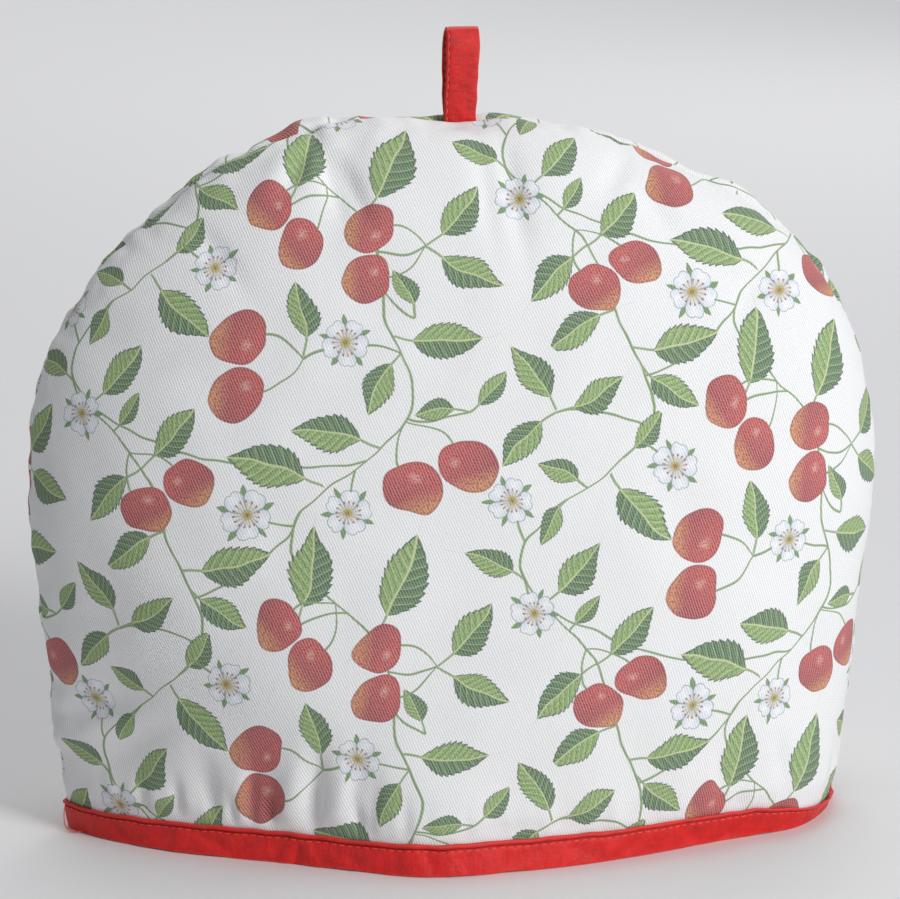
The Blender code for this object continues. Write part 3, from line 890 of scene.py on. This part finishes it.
# %% Where things stand
VINES = (
    # middle, first swing and its start, second swing and its start
    (42, 22, 0.2, 7, 1.0),
    (123, 19, 2.9, 8, 0.4),
)
VINE_HALF = 0.5
BOW = 0.2
LEFT, RIGHT, SHOOT = 0, 1, 2
SHOOTS = (
    # vine, where up it, turn, length
    (RIGHT, 116, 92, 34),
    (RIGHT, 93, -86, 22),
    (LEFT, 11, 80, 34),
    (RIGHT, 1, -86, 18),
    (RIGHT, 139, -130, 16),
    (RIGHT, 23, 105, 20),
)
LEAVES = (
    # vine and where up it, or a shoot and its number; turn, length
    (LEFT, 0, -47, 17), (LEFT, 34, -133, 20), (LEFT, 40, -88, 26), (LEFT, 54, 115, 22), (LEFT, 77, -50, 23),
    (LEFT, 77, 125, 23), (LEFT, 90, -45, 13), (LEFT, 100, -50, 23), (LEFT, 108, 55, 19), (LEFT, 138, 140, 15),
    (LEFT, 142, 55, 15), (LEFT, 148, -145, 26),
    (RIGHT, 14, -33, 31), (RIGHT, 68, 65, 29), (RIGHT, 82, 70, 25), (RIGHT, 116, 145, 19),
    (RIGHT, 123, -101, 25),
    (SHOOT, 0, 0, 22), (SHOOT, 1, -50, 15), (SHOOT, 1, 85, 15), (SHOOT, 2, -70, 21), (SHOOT, 2, 25, 22),
    (SHOOT, 2, 125, 21), (SHOOT, 3, -125, 23), (SHOOT, 3, -48, 23), (SHOOT, 4, 16, 15), (SHOOT, 5, -20, 29),
)  # fmt: skip
CHERRIES = (
    (LEFT, 83, -140, 9),
    (RIGHT, 27, 135, 9),
    (RIGHT, 92, -150, 10),
    (SHOOT, 0, 95, 10),
    (SHOOT, 3, 95, 9),
)
BLOSSOMS = (
    (LEFT, 6, -125, 9),
    (LEFT, 112, -165, 9),
    (LEFT, 123, 20, 9),
    (RIGHT, 55, 75, 10),
    (RIGHT, 75, 170, 9),
    (SHOOT, 0, -70, 9),
)
BRANCHES = (((0, 30), (1, 60)), ((0, 100), (1, 78)))


def vine_x(vine, y):
    middle, swing, start, swing_2, start_2 = VINES[vine]
    turn = FULL_TURN * y / TILE_HIGH
    return middle + swing * math.sin(turn + start) + swing_2 * math.sin(2 * turn + start_2)


def gone(x, y, turn, far):
    """The place that far from another, in the direction of the turn."""
    return x - far * math.sin(math.radians(turn)), y + far * math.cos(math.radians(turn))


def shoot_tip(number):
    vine, y, turn, length = SHOOTS[number]
    return gone(vine_x(vine, y), y, turn, length)


def stood(rows, root):
    """The stamps of things whose stalk, root times their size long, leaves a vine or a shoot's tip."""
    stamps = []
    for grows_on, at, turn, size in rows:
        x, y = shoot_tip(at) if grows_on == SHOOT else (vine_x(grows_on, at), at)
        stamps.append((*gone(x, y, turn, root * size), turn, size))
    return stamps


def bowed_stamps(ends):
    """The stamps of bowed stems, each from one place to another."""
    stamps = []
    for (x, y), (other_x, other_y) in ends:
        half = math.hypot(other_x - x, other_y - y) / 2
        turn = math.degrees(math.atan2(x - other_x, other_y - y))
        stamps.append(((x + other_x) / 2, (y + other_y) / 2, turn, round(half)))
    return stamps


def draw_stems(under, place):
    """The vines, the bowed branches between them, and the shoots."""
    x, y, _ = place.axes()
    turn = y * (FULL_TURN / TILE_HIGH)
    for middle, swing, start, swing_2, start_2 in VINES:
        line = (turn + start).sine() * swing + (turn.times_plus(2, start_2)).sine() * swing_2
        under = abs(x - line - middle).below(VINE_HALF, soft=0.35).mix(under, STEM_GREEN)
    branches = [((vine_x(*low), low[1]), (vine_x(*high), high[1])) for low, high in BRANCHES]
    shoots = [((vine_x(vine, y), y), shoot_tip(k)) for k, (vine, y, _, _) in enumerate(SHOOTS)]
    for ends in (branches, shoots):
        x, y, size = nearest(place, bowed_stamps(ends), 1.0)
        bowed = y * y * BOW - BOW + x
        under = stem_line(abs(bowed), size, abs(y), -1, 1.0).mix(under, STEM_GREEN)
    return under


# %% [markdown]
# ## Twill
# Under the print is a cotton twill: ribs about a millimetre apart that run down to the right. Each rib is a
# row of floats, and a second wave dips it where a thread dives under, half a step later on every next rib.
# The ink sits on the ribs, and the valleys are in their own small shadow. The same wave gives the bump.

# %% Printed twill
RIB_PITCH = 0.98
RIB_TURN = math.radians(22)
RIB_DRIFT = 2.2
FLOAT_LENGTH, DIVE_DEPTH = 1.35, 0.4
RIB_BUMP = 0.10 * MM
VALLEY_POWER, VALLEY_SHARE = 1.6, 0.46
WHITE, VALLEY_GREY = colour(242, 242, 242), colour(186, 188, 194)


def ribs_of(flat):
    """The ribs' wave, 0 in a valley and 1 on a rib, broken along each rib where a thread dives under."""
    across = flat.vector("DOT_PRODUCT", (math.cos(RIB_TURN), math.sin(RIB_TURN), 0), output=1)
    along = flat.vector("DOT_PRODUCT", (-math.sin(RIB_TURN), math.cos(RIB_TURN), 0), output=1)
    turn = across * (FULL_TURN / RIB_PITCH) + flat.clouds(0.35, 2.0) * RIB_DRIFT
    dive = (along * (FULL_TURN / FLOAT_LENGTH) + turn * 0.5).sine()
    return turn.sine().times_plus(0.5, 0.5) * dive.times_plus(DIVE_DEPTH / 2, 1 - DIVE_DEPTH / 2)


def wire_up(start, shader, tint, height=None, depth=0.0):
    """Gives a shader its colour and, from a height that goes from 0 to 1 over a depth in metres, its bump."""
    start.tree.links.new(tint.socket, shader.inputs["Base Color"])
    if height is not None:
        normal = start.node("ShaderNodeBump", None, {"Strength": 1.0, "Distance": depth, "Height": height})
        start.tree.links.new(normal.socket, shader.inputs["Normal"])


def draw_print(start, ground):
    """The twill's colour with the print on it, and its ribs."""
    flat = cloth_place(start)
    place = within_repeat(flat)
    stipple = flat.clouds(1.2, 1.0).above(0.52, soft=0.2)
    inked = draw_stems(ground, place)
    inked = draw_leaves(inked, place, stood(LEAVES, LEAF_STALK + LEAF_MIDDLE), stipple)
    inked = draw_blossoms(inked, place, stood(BLOSSOMS, BLOSSOM_ROOT))
    inked = draw_cherries(inked, place, stood(CHERRIES, CHERRY_ROOT), stipple)
    ribs = ribs_of(flat)
    valley = (1 - ribs) ** VALLEY_POWER * VALLEY_SHARE
    return valley.mix(inked, VALLEY_GREY), ribs


print_cloth, start, shader = new_material("printed_twill", roughness=0.85, sheen=0.08)
inked, ribs = draw_print(start, WHITE)
wire_up(start, shader, inked, ribs, RIB_BUMP)
print("the print has", len(start.tree.nodes), "nodes")

# %% [markdown]
# ## Lining
# The inside is a plain-woven cotton without a print. Two crossed waves make its threads, and noise drawn
# out along each of them makes the slubs: places where a thread is thicker than its neighbours.

# %% Plain weave
LINING_PITCH = 0.55
LINING_BUMP = 0.06 * MM
LINING_WHITE, LINING_SHADE = colour(234, 232, 227), colour(204, 202, 197)
SLUB_STRETCHES = ((0.3, 2.2, 0), (2.2, 0.3, 0))


def plain_weave(flat, pitch):
    """A plain weave's threads, from -1 to 1, and its slubs, from 0 to 2."""
    along, across, _ = flat.axes()
    threads = (along * (FULL_TURN / pitch)).sine() * (across * (FULL_TURN / pitch)).sine()
    slubs = 0
    for stretch in SLUB_STRETCHES:
        slubs = flat.vector("MULTIPLY", stretch).clouds(1.0, 2.0) + slubs
    return threads, slubs


lining_cloth, start, shader = new_material("lining_cotton", roughness=0.88, sheen=0.08)
threads, slubs = plain_weave(cloth_place(start), LINING_PITCH)
tone = ((slubs - 0.75) * 0.8 + threads * 0.12).clamped()
wire_up(start, shader, tone.mix(LINING_WHITE, LINING_SHADE), threads * 0.5 + slubs, LINING_BUMP)

# %% [markdown]
# ## Panels
# Outer skin and lining are laid on the dome and joined round their edges by a bridge, which makes the
# seam's flat face and the hem's edge. The wall is one closed, padded piece with two cloths on it.

# %% Panels
COLUMNS, ROWS = 400, 210
LINING_COLUMNS, LINING_ROWS = 80, 56
LINING_RIPPLE_SIZE = 36 * MM
PRINT, LINING = 0, 1


def build_panel(side):
    bm = bmesh.new()
    outer, outer_grid = add_skin(bm, side, True, COLUMNS, ROWS)
    bm.normal_update()
    pressed = press(side, np.array([v.co for v in outer]))
    for vertex, depth in zip(outer, pressed):
        vertex.co -= vertex.normal * depth
    lining, lining_grid = add_skin(bm, side, False, LINING_COLUMNS, LINING_ROWS)
    bm.normal_update()
    loose = RIPPLE_DEPTH * wavy(np.array([v.co for v in lining]), LINING_RIPPLE_SIZE)
    for vertex, depth in zip(lining, loose):
        if not vertex.is_boundary:
            vertex.co -= vertex.normal * depth
    bmesh.ops.bridge_loops(bm, edges=[e for e in bm.edges if e.is_boundary])
    bmesh.ops.recalc_face_normals(bm, faces=bm.faces)
    open_edges = sum(not e.is_manifold for e in bm.edges)
    panel = finished(f"panel_{side}_cloth", bm, [print_cloth, lining_cloth])
    mesh = panel.data
    slots = np.full(len(mesh.polygons), PRINT)
    slots[COLUMNS * ROWS : COLUMNS * ROWS + LINING_COLUMNS * LINING_ROWS] = LINING
    mesh.polygons.foreach_set("material_index", slots)
    places = read_flat(flat_cloth(side), *np.concatenate([outer_grid, lining_grid]).T)
    corners = np.zeros(len(mesh.loops), dtype=int)
    mesh.loops.foreach_get("vertex_index", corners)
    mesh.uv_layers.new(name="Cloth").data.foreach_set("uv", places[corners].ravel())
    triangles = sum(len(p.vertices) - 2 for p in mesh.polygons)
    print(f"{panel.name}: {triangles} triangles, {open_edges} open edges, folds to {pressed.max() / MM:.1f} mm")
    return panel


panels = {side: build_panel(side) for side in ("front", "back")}
for side, panel in panels.items():
    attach(panel, "root")
    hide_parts(f"panel_{side}")

# %% [markdown]
# ## Red cotton
# Binding and loop are cut from the same plain-woven cotton. Its threads are under half a millimetre thick,
# so what shows from a step away is their unevenness: long faint slubs both ways, and a paler worn line along
# each fold. Shade is painted in as well: a deeper red in the low places of the crumples, a painted shadow in
# the crease, and painted shade at every needle hole. The needle holes come from the same spacing as the
# stitches, so a hole lies at each stitch's end.

# %% Red cotton
THREAD_PITCH = 0.45
WEAVE_BUMP = 0.07 * MM
CRUMPLE_STRETCH, CRUMPLE_SHARE = (0.34, 0.2, 0), 6.0
PATCH_SCALE = 0.16
RED, RED_DEEP = colour(225, 25, 21), colour(184, 13, 11)
RED_SHADE, RED_WORN = colour(96, 6, 6), colour(238, 92, 80)
BINDING_DEPTH, LOOP_DEPTH = 0.1, 0.36
STITCH_PITCH = 3.2 * MM


def red_cotton(name, pitch, depth, worn, creases, stitched):
    """The red cloth, deeper in tone by depth. Lines across it, and the stitches' pitch, are in millimetres."""
    material, start, shader = new_material(name, roughness=0.46, sheen=0.0, specular=0.5)
    flat = cloth_place(start)
    along, across, _ = flat.axes()
    threads, slubs = plain_weave(flat, THREAD_PITCH)
    crumple = flat.vector("MULTIPLY", CRUMPLE_STRETCH).clouds(1.0, 3.0)
    patch = flat.clouds(PATCH_SCALE, 3.0)
    # Painted shade: where the crumples' bump is low the red is deeper. Slubs, patches and threads are the cloth's
    # own uneven tone.
    uneven = (slubs - 0.9) * 0.8 + (patch - 0.5) * 1.3 + (0.5 - crumple) * 0.5 + threads * 0.06
    tone = (uneven + depth).clamped()
    red = tone.mix(RED, RED_DEEP)
    for line in worn:
        red = (abs(across - line).below(0.35, soft=1.1) * (patch + 0.2) * 0.75).mix(red, RED_WORN)
    # Painted shade along each crease line.
    for line in creases:
        red = (abs(across - line).below(0.25, soft=0.5) * 0.7).mix(red, RED_SHADE)
    # Painted shade round each needle hole.
    from_hole = (along / pitch).part() - 0.5
    for line in stitched:
        hole = (from_hole * pitch).length_with(across - line).below(0.3, soft=0.35)
        red = (hole * 0.6).mix(red, RED_SHADE)
    wire_up(start, shader, red, threads * 0.5 + slubs + crumple * CRUMPLE_SHARE, WEAVE_BUMP)
    return material


THREAD_WORN = 0.25

thread_cloth, start, shader = new_material("red_thread", roughness=0.42, specular=0.45)
thread_sockets = {"Vector": start.node("ShaderNodeTexCoord", output=3), "Scale": 900.0}
uneven = start.node("ShaderNodeTexNoise", None, thread_sockets)
wire_up(start, shader, (uneven + THREAD_WORN).clamped().mix(RED, RED_WORN))

# %% [markdown]
# ## Stitches
# One stitch is a small rounded grain of thread, drawn long. It is the same few faces each time, because
# hundreds are sewn in a row. Each is set half into the cloth along the line that it follows.

# %% Stitches
STITCH_SHARE = 0.34
STITCH_HALF, THREAD_HALF = 1.15 * MM, 0.24 * MM

bm = bmesh.new()
bmesh.ops.create_uvsphere(bm, u_segments=6, v_segments=4, radius=1)
stitch_mesh = finished("stitch", bm, [thread_cloth]).data
bpy.data.objects.remove(bpy.data.objects["stitch"])


def stitch_place(before, after, out):
    """Where a stitch lies: between two points of its line, standing half out of the cloth."""
    along = (after - before).normalized()
    out = (out - along * out.dot(along)).normalized()
    turned = Matrix((out * THREAD_HALF, along.cross(out) * THREAD_HALF, along * STITCH_HALF))
    return Matrix.Translation((before + after) / 2 + out * THREAD_HALF / 2) @ turned.transposed().to_4x4()


def sewn(name, places):
    """One piece made of a stitch at each place."""
    seam = finished(name, bmesh.new(), [thread_cloth])
    copies = [bpy.data.objects.new(f"{name}_{k}", stitch_mesh) for k in range(len(places))]
    for copy, place in zip(copies, places):
        copy.matrix_world = place
        bpy.context.scene.collection.objects.link(copy)
    bpy.context.view_layer.update()
    with bpy.context.temp_override(active_object=seam, selected_editable_objects=[seam, *copies]):
        bpy.ops.object.join()
    seam.data.shade_smooth()
    return seam


# %% [markdown]
# ## Hem binding
# A strip folded over the hem. It was sewn on, turned down, and stitched through just under the seam, so its
# outside has a narrow roll on top, a tight crease, and then the stitches. A grid makes it: one way it goes
# round the hem, and the other way round the strip's own section, row by row. The rows lie close together
# where the roll, the crease and the stitch line are.

# %% The strip's section
CREASE_LEVEL, CREASE_DEPTH, CREASE_HALF = 10.6, 0.75, 0.34
ROLL_LEVEL, ROLL_RISE, ROLL_HALF = 11.6, 0.3, 0.8
STITCH_LEVEL, LINE_DEPTH, LINE_HALF = 9.95, 0.2, 0.5
WAVE_SIZE, WAVE_DEPTH, TOP_WAVE, BOTTOM_WAVE = 8.0, 0.6, 0.5, 0.8
THINNEST = -1.3
HEM_HALF_WIDE, HEM_HALF_DEEP = 150, 73
BINDING_FOLDS = (
    # side, place x and z, lean in degrees, half length, half width and depth in mm
    ("front", -66, 3, 16, 7, 1.5, 1.3), ("front", -61, 5, -24, 7, 1.8, -0.7), ("front", -72, 6, 34, 7, 2.0, 0.7),
    ("front", -86, 6, 52, 9, 2.4, 0.9), ("front", -98, 7, -56, 8, 2.2, 0.8), ("front", -108, 4, 40, 6, 2.0, -0.6),
    ("front", -118, 7, 72, 10, 2.4, 0.8), ("front", -131, 5, -40, 7, 2.2, 0.9), ("front", -48, 6, -62, 9, 2.4, 0.6),
    ("front", -36, 4, 58, 8, 2.2, 0.6), ("front", -17, 5, -24, 6, 2.2, 0.8), ("front", -4, 7, 70, 9, 2.6, 0.5),
    ("front", 16, 5, 62, 8, 2.2, 0.6), ("front", 38, 7, -66, 9, 2.6, 0.5), ("front", 60, 5, 50, 7, 2.2, 0.5),
    ("front", 84, 6, -48, 8, 2.4, 0.6), ("front", 104, 5, 60, 8, 2.4, 0.7), ("front", 126, 6, 30, 7, 2.2, 0.8),
    ("back", -120, 6, 60, 8, 2.4, 0.8), ("back", -84, 5, -50, 7, 2.2, 0.7), ("back", -52, 6, 30, 7, 2.0, 0.9),
    ("back", -22, 5, -64, 8, 2.4, 0.6), ("back", 12, 6, 48, 8, 2.2, 0.7), ("back", 50, 5, -30, 6, 2.0, 0.9),
    ("back", 88, 6, 66, 9, 2.4, 0.6), ("back", 122, 5, -40, 7, 2.2, 0.8),
)  # fmt: skip
OUTSIDE_LEVELS = (12.2, 11.9, 11.6, 11.3, 11.05, 10.85, 10.7, 10.6, 10.5, 10.35, 10.2, 10.05, 9.9, 9.7, 9.4, 9)
LOWER_LEVELS = (8.2, 7.4, 6.6, 5.8, 5, 4.2, 3.4, 2.6, 1.8, 1.2, 0.7)
INSIDE_LEVELS = (0.7, 1.2, 2, 3, 4, 5, 6, 7, 8, 9, 9.4, 9.7, 9.95, 10.2, 10.5, 10.9, 11.2)
OUTSIDE, HIDDEN, INSIDE = 1, 0, -1


def strip_section():
    """The folded strip's section in millimetres, all round: how far in, how high, and which face."""
    outer_face = (HEM_PRESS - BINDING_GAP) / MM
    inner_face = (WALL - HEM_PRESS + BINDING_GAP) / MM
    cloth, top, back_top = BINDING_CLOTH / MM, BINDING_HEIGHT / MM, BINDING_BACK_HEIGHT / MM
    outside, inside = outer_face - cloth, inner_face + cloth
    rows = [(outside + 0.3, top, OUTSIDE)]
    rows += [(outside, z, OUTSIDE) for z in OUTSIDE_LEVELS + LOWER_LEVELS]
    rows += [(outside + 0.15, 0.35, OUTSIDE), (outside + 0.35, 0.12, OUTSIDE), (outside + 0.8, 0, HIDDEN)]
    rows += [(inside - 0.8, 0, HIDDEN), (inside - 0.35, 0.12, INSIDE), (inside - 0.15, 0.35, INSIDE)]
    rows += [(inside, z, INSIDE) for z in INSIDE_LEVELS]
    rows += [(inside - 0.3, back_top, INSIDE), (inner_face + 0.2, back_top, HIDDEN)]
    rows += [(inner_face, back_top - 0.4, HIDDEN), (inner_face, cloth, HIDDEN)]
    return rows + [(outer_face, cloth, HIDDEN), (outer_face, top - 0.4, HIDDEN), (outer_face - 0.2, top, HIDDEN)]


SECTION = np.array(strip_section())
SECTION_RUN = run_along(np.concatenate([SECTION, SECTION[:1]])[:, :2])


def across_at(face, level):
    """Where across the strip a height on one of its faces lies, in millimetres."""
    pairs = sorted((row[1], run) for row, run in zip(SECTION, SECTION_RUN) if row[2] == face)
    return float(np.interp(level, *zip(*pairs)))


print(f"the strip is {SECTION_RUN[-1] / 2:.1f} mm wide, in {len(SECTION)} rows round both its faces")


# %% Round the hem
RING_COLUMNS = 640
# The sewing thread's loose end at the left corner, as bezier points in millimetres
THREAD_TAIL = (
    (-150, -1.6, 10.4), (-151.4, -2.4, 7.4), (-151.6, -3.4, 3.6), (-150.6, -5.6, 1.6),
    (-149.4, -8, 0.2), (-145.4, -9.8, 0.3), (-143.6, -7, 1.4),
)  # fmt: skip
TAIL_GRAINS = 9
FOLD_LEVELS = (0.3, 12.5)


def strip_points(turn, inset, z, face):
    """Points of the binding, round the hem by turn, with the roll, the crease, the wrinkles and the waves."""
    turn, inset, z, face = np.broadcast_arrays(turn, inset, z, face)
    share = np.cos(turn)
    place = np.stack([HEM_HALF_WIDE * share, HEM_HALF_DEEP * np.sin(turn), z], axis=1)
    roll = ROLL_RISE * np.exp(-(((z - ROLL_LEVEL) / ROLL_HALF) ** 2))
    crease = CREASE_DEPTH * np.exp(-(((z - CREASE_LEVEL) / CREASE_HALF) ** 2))
    line = LINE_DEPTH * np.exp(-(((z - STITCH_LEVEL) / LINE_HALF) ** 2))
    wrinkle = WAVE_DEPTH * wavy(place, WAVE_SIZE, flatten=2.5) * ease(z, 0.2, 4)
    x = HEM_HALF_WIDE * share * MM
    in_front = turn > math.pi
    folds = np.where(in_front, *(folds_at(BINDING_FOLDS, side, x, z * MM) for side in ("front", "back"))) / MM
    relief = np.abs(face) * (wrinkle - line) + (face == OUTSIDE) * (roll - crease - folds)
    relief = np.maximum(THINNEST, relief)
    rise = TOP_WAVE * wavy(place + 40, WAVE_SIZE, flatten=9) * ease(z, 7, 12)
    lifted = np.maximum(0, wavy(place - 40, 2 * WAVE_SIZE, flatten=9))
    inset, z = (inset - face * relief) * MM, (z + rise + BOTTOM_WAVE * lifted * (1 - ease(z, 0, 4))) * MM
    level = np.maximum(0.0, z - PANEL_BASE)
    x = share * half_width(level)
    off = np.where(np.abs(share) > 1 - 1e-9, 0.0, GAP / 2 + stand_off(x, level, inset))
    return settle(x - share * inset, np.where(in_front, -off, off), z)


RING_TURNS = np.linspace(0, FULL_TURN, RING_COLUMNS + 1)
RING_RUN = run_along(strip_points(RING_TURNS, 0.0, STITCH_LEVEL, HIDDEN)[:, :2])
print(f"the binding is {RING_RUN[-1] / MM:.0f} mm long round the hem")

# %% Hem binding
def build_strip(bm, cloth, columns, rows, point_at, run_at):
    """A grid drawn round as a closed strip, with its Cloth coordinates in metres."""
    made = bmesh.ops.create_grid(bm, x_segments=columns, y_segments=rows, size=1.0)["verts"]
    places = np.array([((v.co.x + 1) / 2 * columns, (v.co.y + 1) / 2 * rows) for v in made])
    column, row = places.round().astype(int).T
    uv_of = dict(zip(made, run_at(column, row)))
    for face in bm.faces:
        for corner in face.loops:
            corner[cloth].uv = uv_of[corner.vert]
    for vertex, point in zip(made, point_at(column, row)):
        vertex.co = point
    bmesh.ops.remove_doubles(bm, verts=made, dist=0.01 * MM)


def ring_points(column, row):
    return strip_points(RING_TURNS[column], *SECTION[row % len(SECTION)].T)


def ring_runs(column, row):
    return np.stack([RING_RUN[column], SECTION_RUN[row] * MM], axis=1)


stitch_count = round(RING_RUN[-1] / STITCH_PITCH)
ring_pitch = RING_RUN[-1] / stitch_count
stitch_rows = {face: across_at(face, STITCH_LEVEL) for face in (OUTSIDE, INSIDE)}
folds = [across_at(face, level) for face in (OUTSIDE, INSIDE) for level in FOLD_LEVELS]
# The outside crease gets a line of painted shade.
creases = [across_at(OUTSIDE, CREASE_LEVEL)]
binding_cloth = red_cotton("red_binding", ring_pitch / MM, BINDING_DEPTH, folds, creases, stitch_rows.values())

bm = bmesh.new()
build_strip(bm, bm.loops.layers.uv.new("Cloth"), RING_COLUMNS, len(SECTION), ring_points, ring_runs)
bmesh.ops.recalc_face_normals(bm, faces=bm.faces)
open_edges = sum(not e.is_manifold for e in bm.edges)
binding = finished("hem_binding_cloth", bm, [binding_cloth])

ends = np.array([(k - STITCH_SHARE, k + STITCH_SHARE) for k in range(1, stitch_count)]) * ring_pitch
turns = np.interp(ends.ravel(), RING_RUN, RING_TURNS)
places = []
for face, inset in ((OUTSIDE, SECTION[:, 0].min()), (INSIDE, SECTION[:, 0].max())):
    line = [Vector(p) for p in strip_points(turns, inset, STITCH_LEVEL, face)]
    places += [stitch_place(p, q, (q - p).cross((0, 0, face))) for p, q in zip(line[::2], line[1::2])]
tail = [Vector(p) * MM for p in THREAD_TAIL]
pieces = [interpolate_bezier(*tail[k : k + 4], TAIL_GRAINS)[:-1] for k in range(0, len(tail) - 3, 3)]
tail = [p for piece in pieces for p in piece]
places += [stitch_place(p, q, Vector((-1, -1, 0.2))) for p, q in zip(tail, tail[1:])]
hem_stitches = sewn("hem_stitches", places)

for piece in (binding, hem_stitches):
    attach(piece, "root")
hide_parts("hem_binding")
triangles = sum(len(p.vertices) - 2 for p in binding.data.polygons)
print(f"{binding.name}: {triangles} triangles, {open_edges} open edges, {2 * stitch_count} stitches")

# %% [markdown]
# ## Hanging loop
# The same cotton as a narrow strip: folded edge to edge, stitched near one edge, doubled over, and its two
# ends sewn into the seam. The under layer shows beside the stitched edge. A curve gives the path of the
# front leg, the back leg is its mirror image, and the grid goes along the path and round the section.

# %% Hanging loop
LOOP_WIDE, LOOP_THICK, LOOP_TALL, LOOP_SUNK = 12.4 * MM, 1.5 * MM, 35 * MM, 2.4 * MM
LOOP_FOOT, LOOP_STRAIGHT, LOOP_BELLY = 1.15 * MM, 12 * MM, 9.5 * MM
LOOP_LEAN, LOOP_BACK_SHIFT = 1.1 * MM, -1.5 * MM
FOOT_NARROW = 0.04
LOOP_STEPS = 30
EDGE_WAVE, EDGE_WAVE_SIZE = 0.35 * MM, 6 * MM
LOOP_STITCH_AT, LOOP_STITCH_OUT = -0.82, 0.76
LOOP_SECTION = (
    # Across, from -1 at the stitched edge to 1, and out, from -1 on the inside to 1 on the outside
    (-1.0, -0.35), (-0.99, 0.1), (-0.97, 0.2), (-0.96, 0.6), (-0.94, 0.9), (-0.91, 0.97), (-0.87, 0.84),
    (-0.82, 0.64), (-0.77, 0.84), (-0.7, 1.0), (-0.3, 1.06), (0.1, 1.06), (0.5, 1.04), (0.88, 1.02),
    (0.98, 0.9), (1.0, 0.4), (1.0, -0.4), (0.98, -0.9), (0.88, -1.02), (0.5, -1.04), (0.1, -1.06),
    (-0.3, -1.06), (-0.7, -1.0), (-0.77, -0.84), (-0.82, -0.64), (-0.87, -0.84), (-0.91, -0.97), (-0.97, -0.8),
)  # fmt: skip

loop_foot = skin_points("front", np.zeros(1), SEAM[:, 1].max(keepdims=True), True, np.array([True]))[0]
loop_foot[2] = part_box("hanging_loop")[0].z + LOOP_SUNK
leg = interpolate_bezier(
    (-LOOP_FOOT, -LOOP_SUNK, 0),
    (-LOOP_FOOT, LOOP_STRAIGHT, 0),
    (-LOOP_BELLY, LOOP_TALL - LOOP_THICK / 2, 0),
    (0, LOOP_TALL - LOOP_THICK / 2, 0),
    LOOP_STEPS,
)
front_leg = np.array(leg)[:, :2]
loop_line = np.concatenate([front_leg, front_leg[-2::-1] * (-1, 1)])
loop_run = run_along(loop_line)
loop_ahead = np.gradient(loop_line, loop_run, axis=0)
loop_ahead /= np.hypot(*loop_ahead.T)[:, None]
section_points = np.array(LOOP_SECTION) * (LOOP_WIDE / 2, LOOP_THICK / 2)
loop_section_run = run_along(np.concatenate([section_points, section_points[:1]]))


def loop_points(run, across, out):
    """Points of the loop: how far along its path, and where on its section."""
    run, across, out = np.broadcast_arrays(run, across, out)
    y, z = (np.interp(run, loop_run, line) for line in loop_line.T)
    ahead_y, ahead_z = (np.interp(run, loop_run, line) for line in loop_ahead.T)
    rise = np.maximum(0.0, z) / LOOP_TALL
    behind = np.sin(math.pi / 2 * run / loop_run[-1]) ** 4
    middle = loop_foot[0] + LOOP_LEAN * rise**1.5 + LOOP_BACK_SHIFT * rise * behind
    half = LOOP_WIDE / 2 * (1 - FOOT_NARROW * (1 - rise))
    edges = np.stack([np.sign(across), y * 0.5 / EDGE_WAVE_SIZE, z / EDGE_WAVE_SIZE], axis=1)
    x = middle + across * half + EDGE_WAVE * wavy(edges, 1.0) * np.abs(across) ** 3
    thick = out * LOOP_THICK / 2
    return np.stack([x, y - ahead_z * thick, loop_foot[2] + z + ahead_y * thick], axis=1)


def loop_grid_points(column, row):
    return loop_points(loop_run[column], *np.array(LOOP_SECTION)[row % len(LOOP_SECTION)].T)


def loop_grid_runs(column, row):
    return np.stack([loop_run[column], loop_section_run[row]], axis=1)


loop_stitch_count = round(loop_run[-1] / STITCH_PITCH)
loop_pitch = loop_run[-1] / loop_stitch_count
edge_rows = [loop_section_run[k] / MM for k, (x, _) in enumerate(LOOP_SECTION) if abs(x) == 1.0]
stitched_rows = [loop_section_run[k] / MM for k, (x, _) in enumerate(LOOP_SECTION) if x == LOOP_STITCH_AT]
# The loop's stitched groove gets a line of painted shade, passed in as a crease.
loop_cloth = red_cotton("red_loop", loop_pitch / MM, LOOP_DEPTH, edge_rows, stitched_rows, stitched_rows)

bm = bmesh.new()
steps = len(loop_run) - 1
build_strip(bm, bm.loops.layers.uv.new("Cloth"), steps, len(LOOP_SECTION), loop_grid_points, loop_grid_runs)
bmesh.ops.holes_fill(bm, edges=[e for e in bm.edges if e.is_boundary])
bmesh.ops.recalc_face_normals(bm, faces=bm.faces)
open_edges = sum(not e.is_manifold for e in bm.edges)
loop = finished("hanging_loop_cloth", bm, [loop_cloth])

ends = np.array([(k - STITCH_SHARE, k + STITCH_SHARE) for k in range(1, loop_stitch_count)]) * loop_pitch
places = []
for out in (1, -1):
    line = [Vector(p) for p in loop_points(ends.ravel(), LOOP_STITCH_AT, out * LOOP_STITCH_OUT)]
    places += [stitch_place(p, q, (q - p).cross((out, 0, 0))) for p, q in zip(line[::2], line[1::2])]
loop_stitches = sewn("loop_stitches", places)

for piece in (loop, loop_stitches):
    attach(piece, "root")
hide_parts("hanging_loop")
print(f"{loop.name}: {loop_run[-1] / MM:.0f} mm of strip, {open_edges} open edges; its foot is at {loop_foot / MM}")
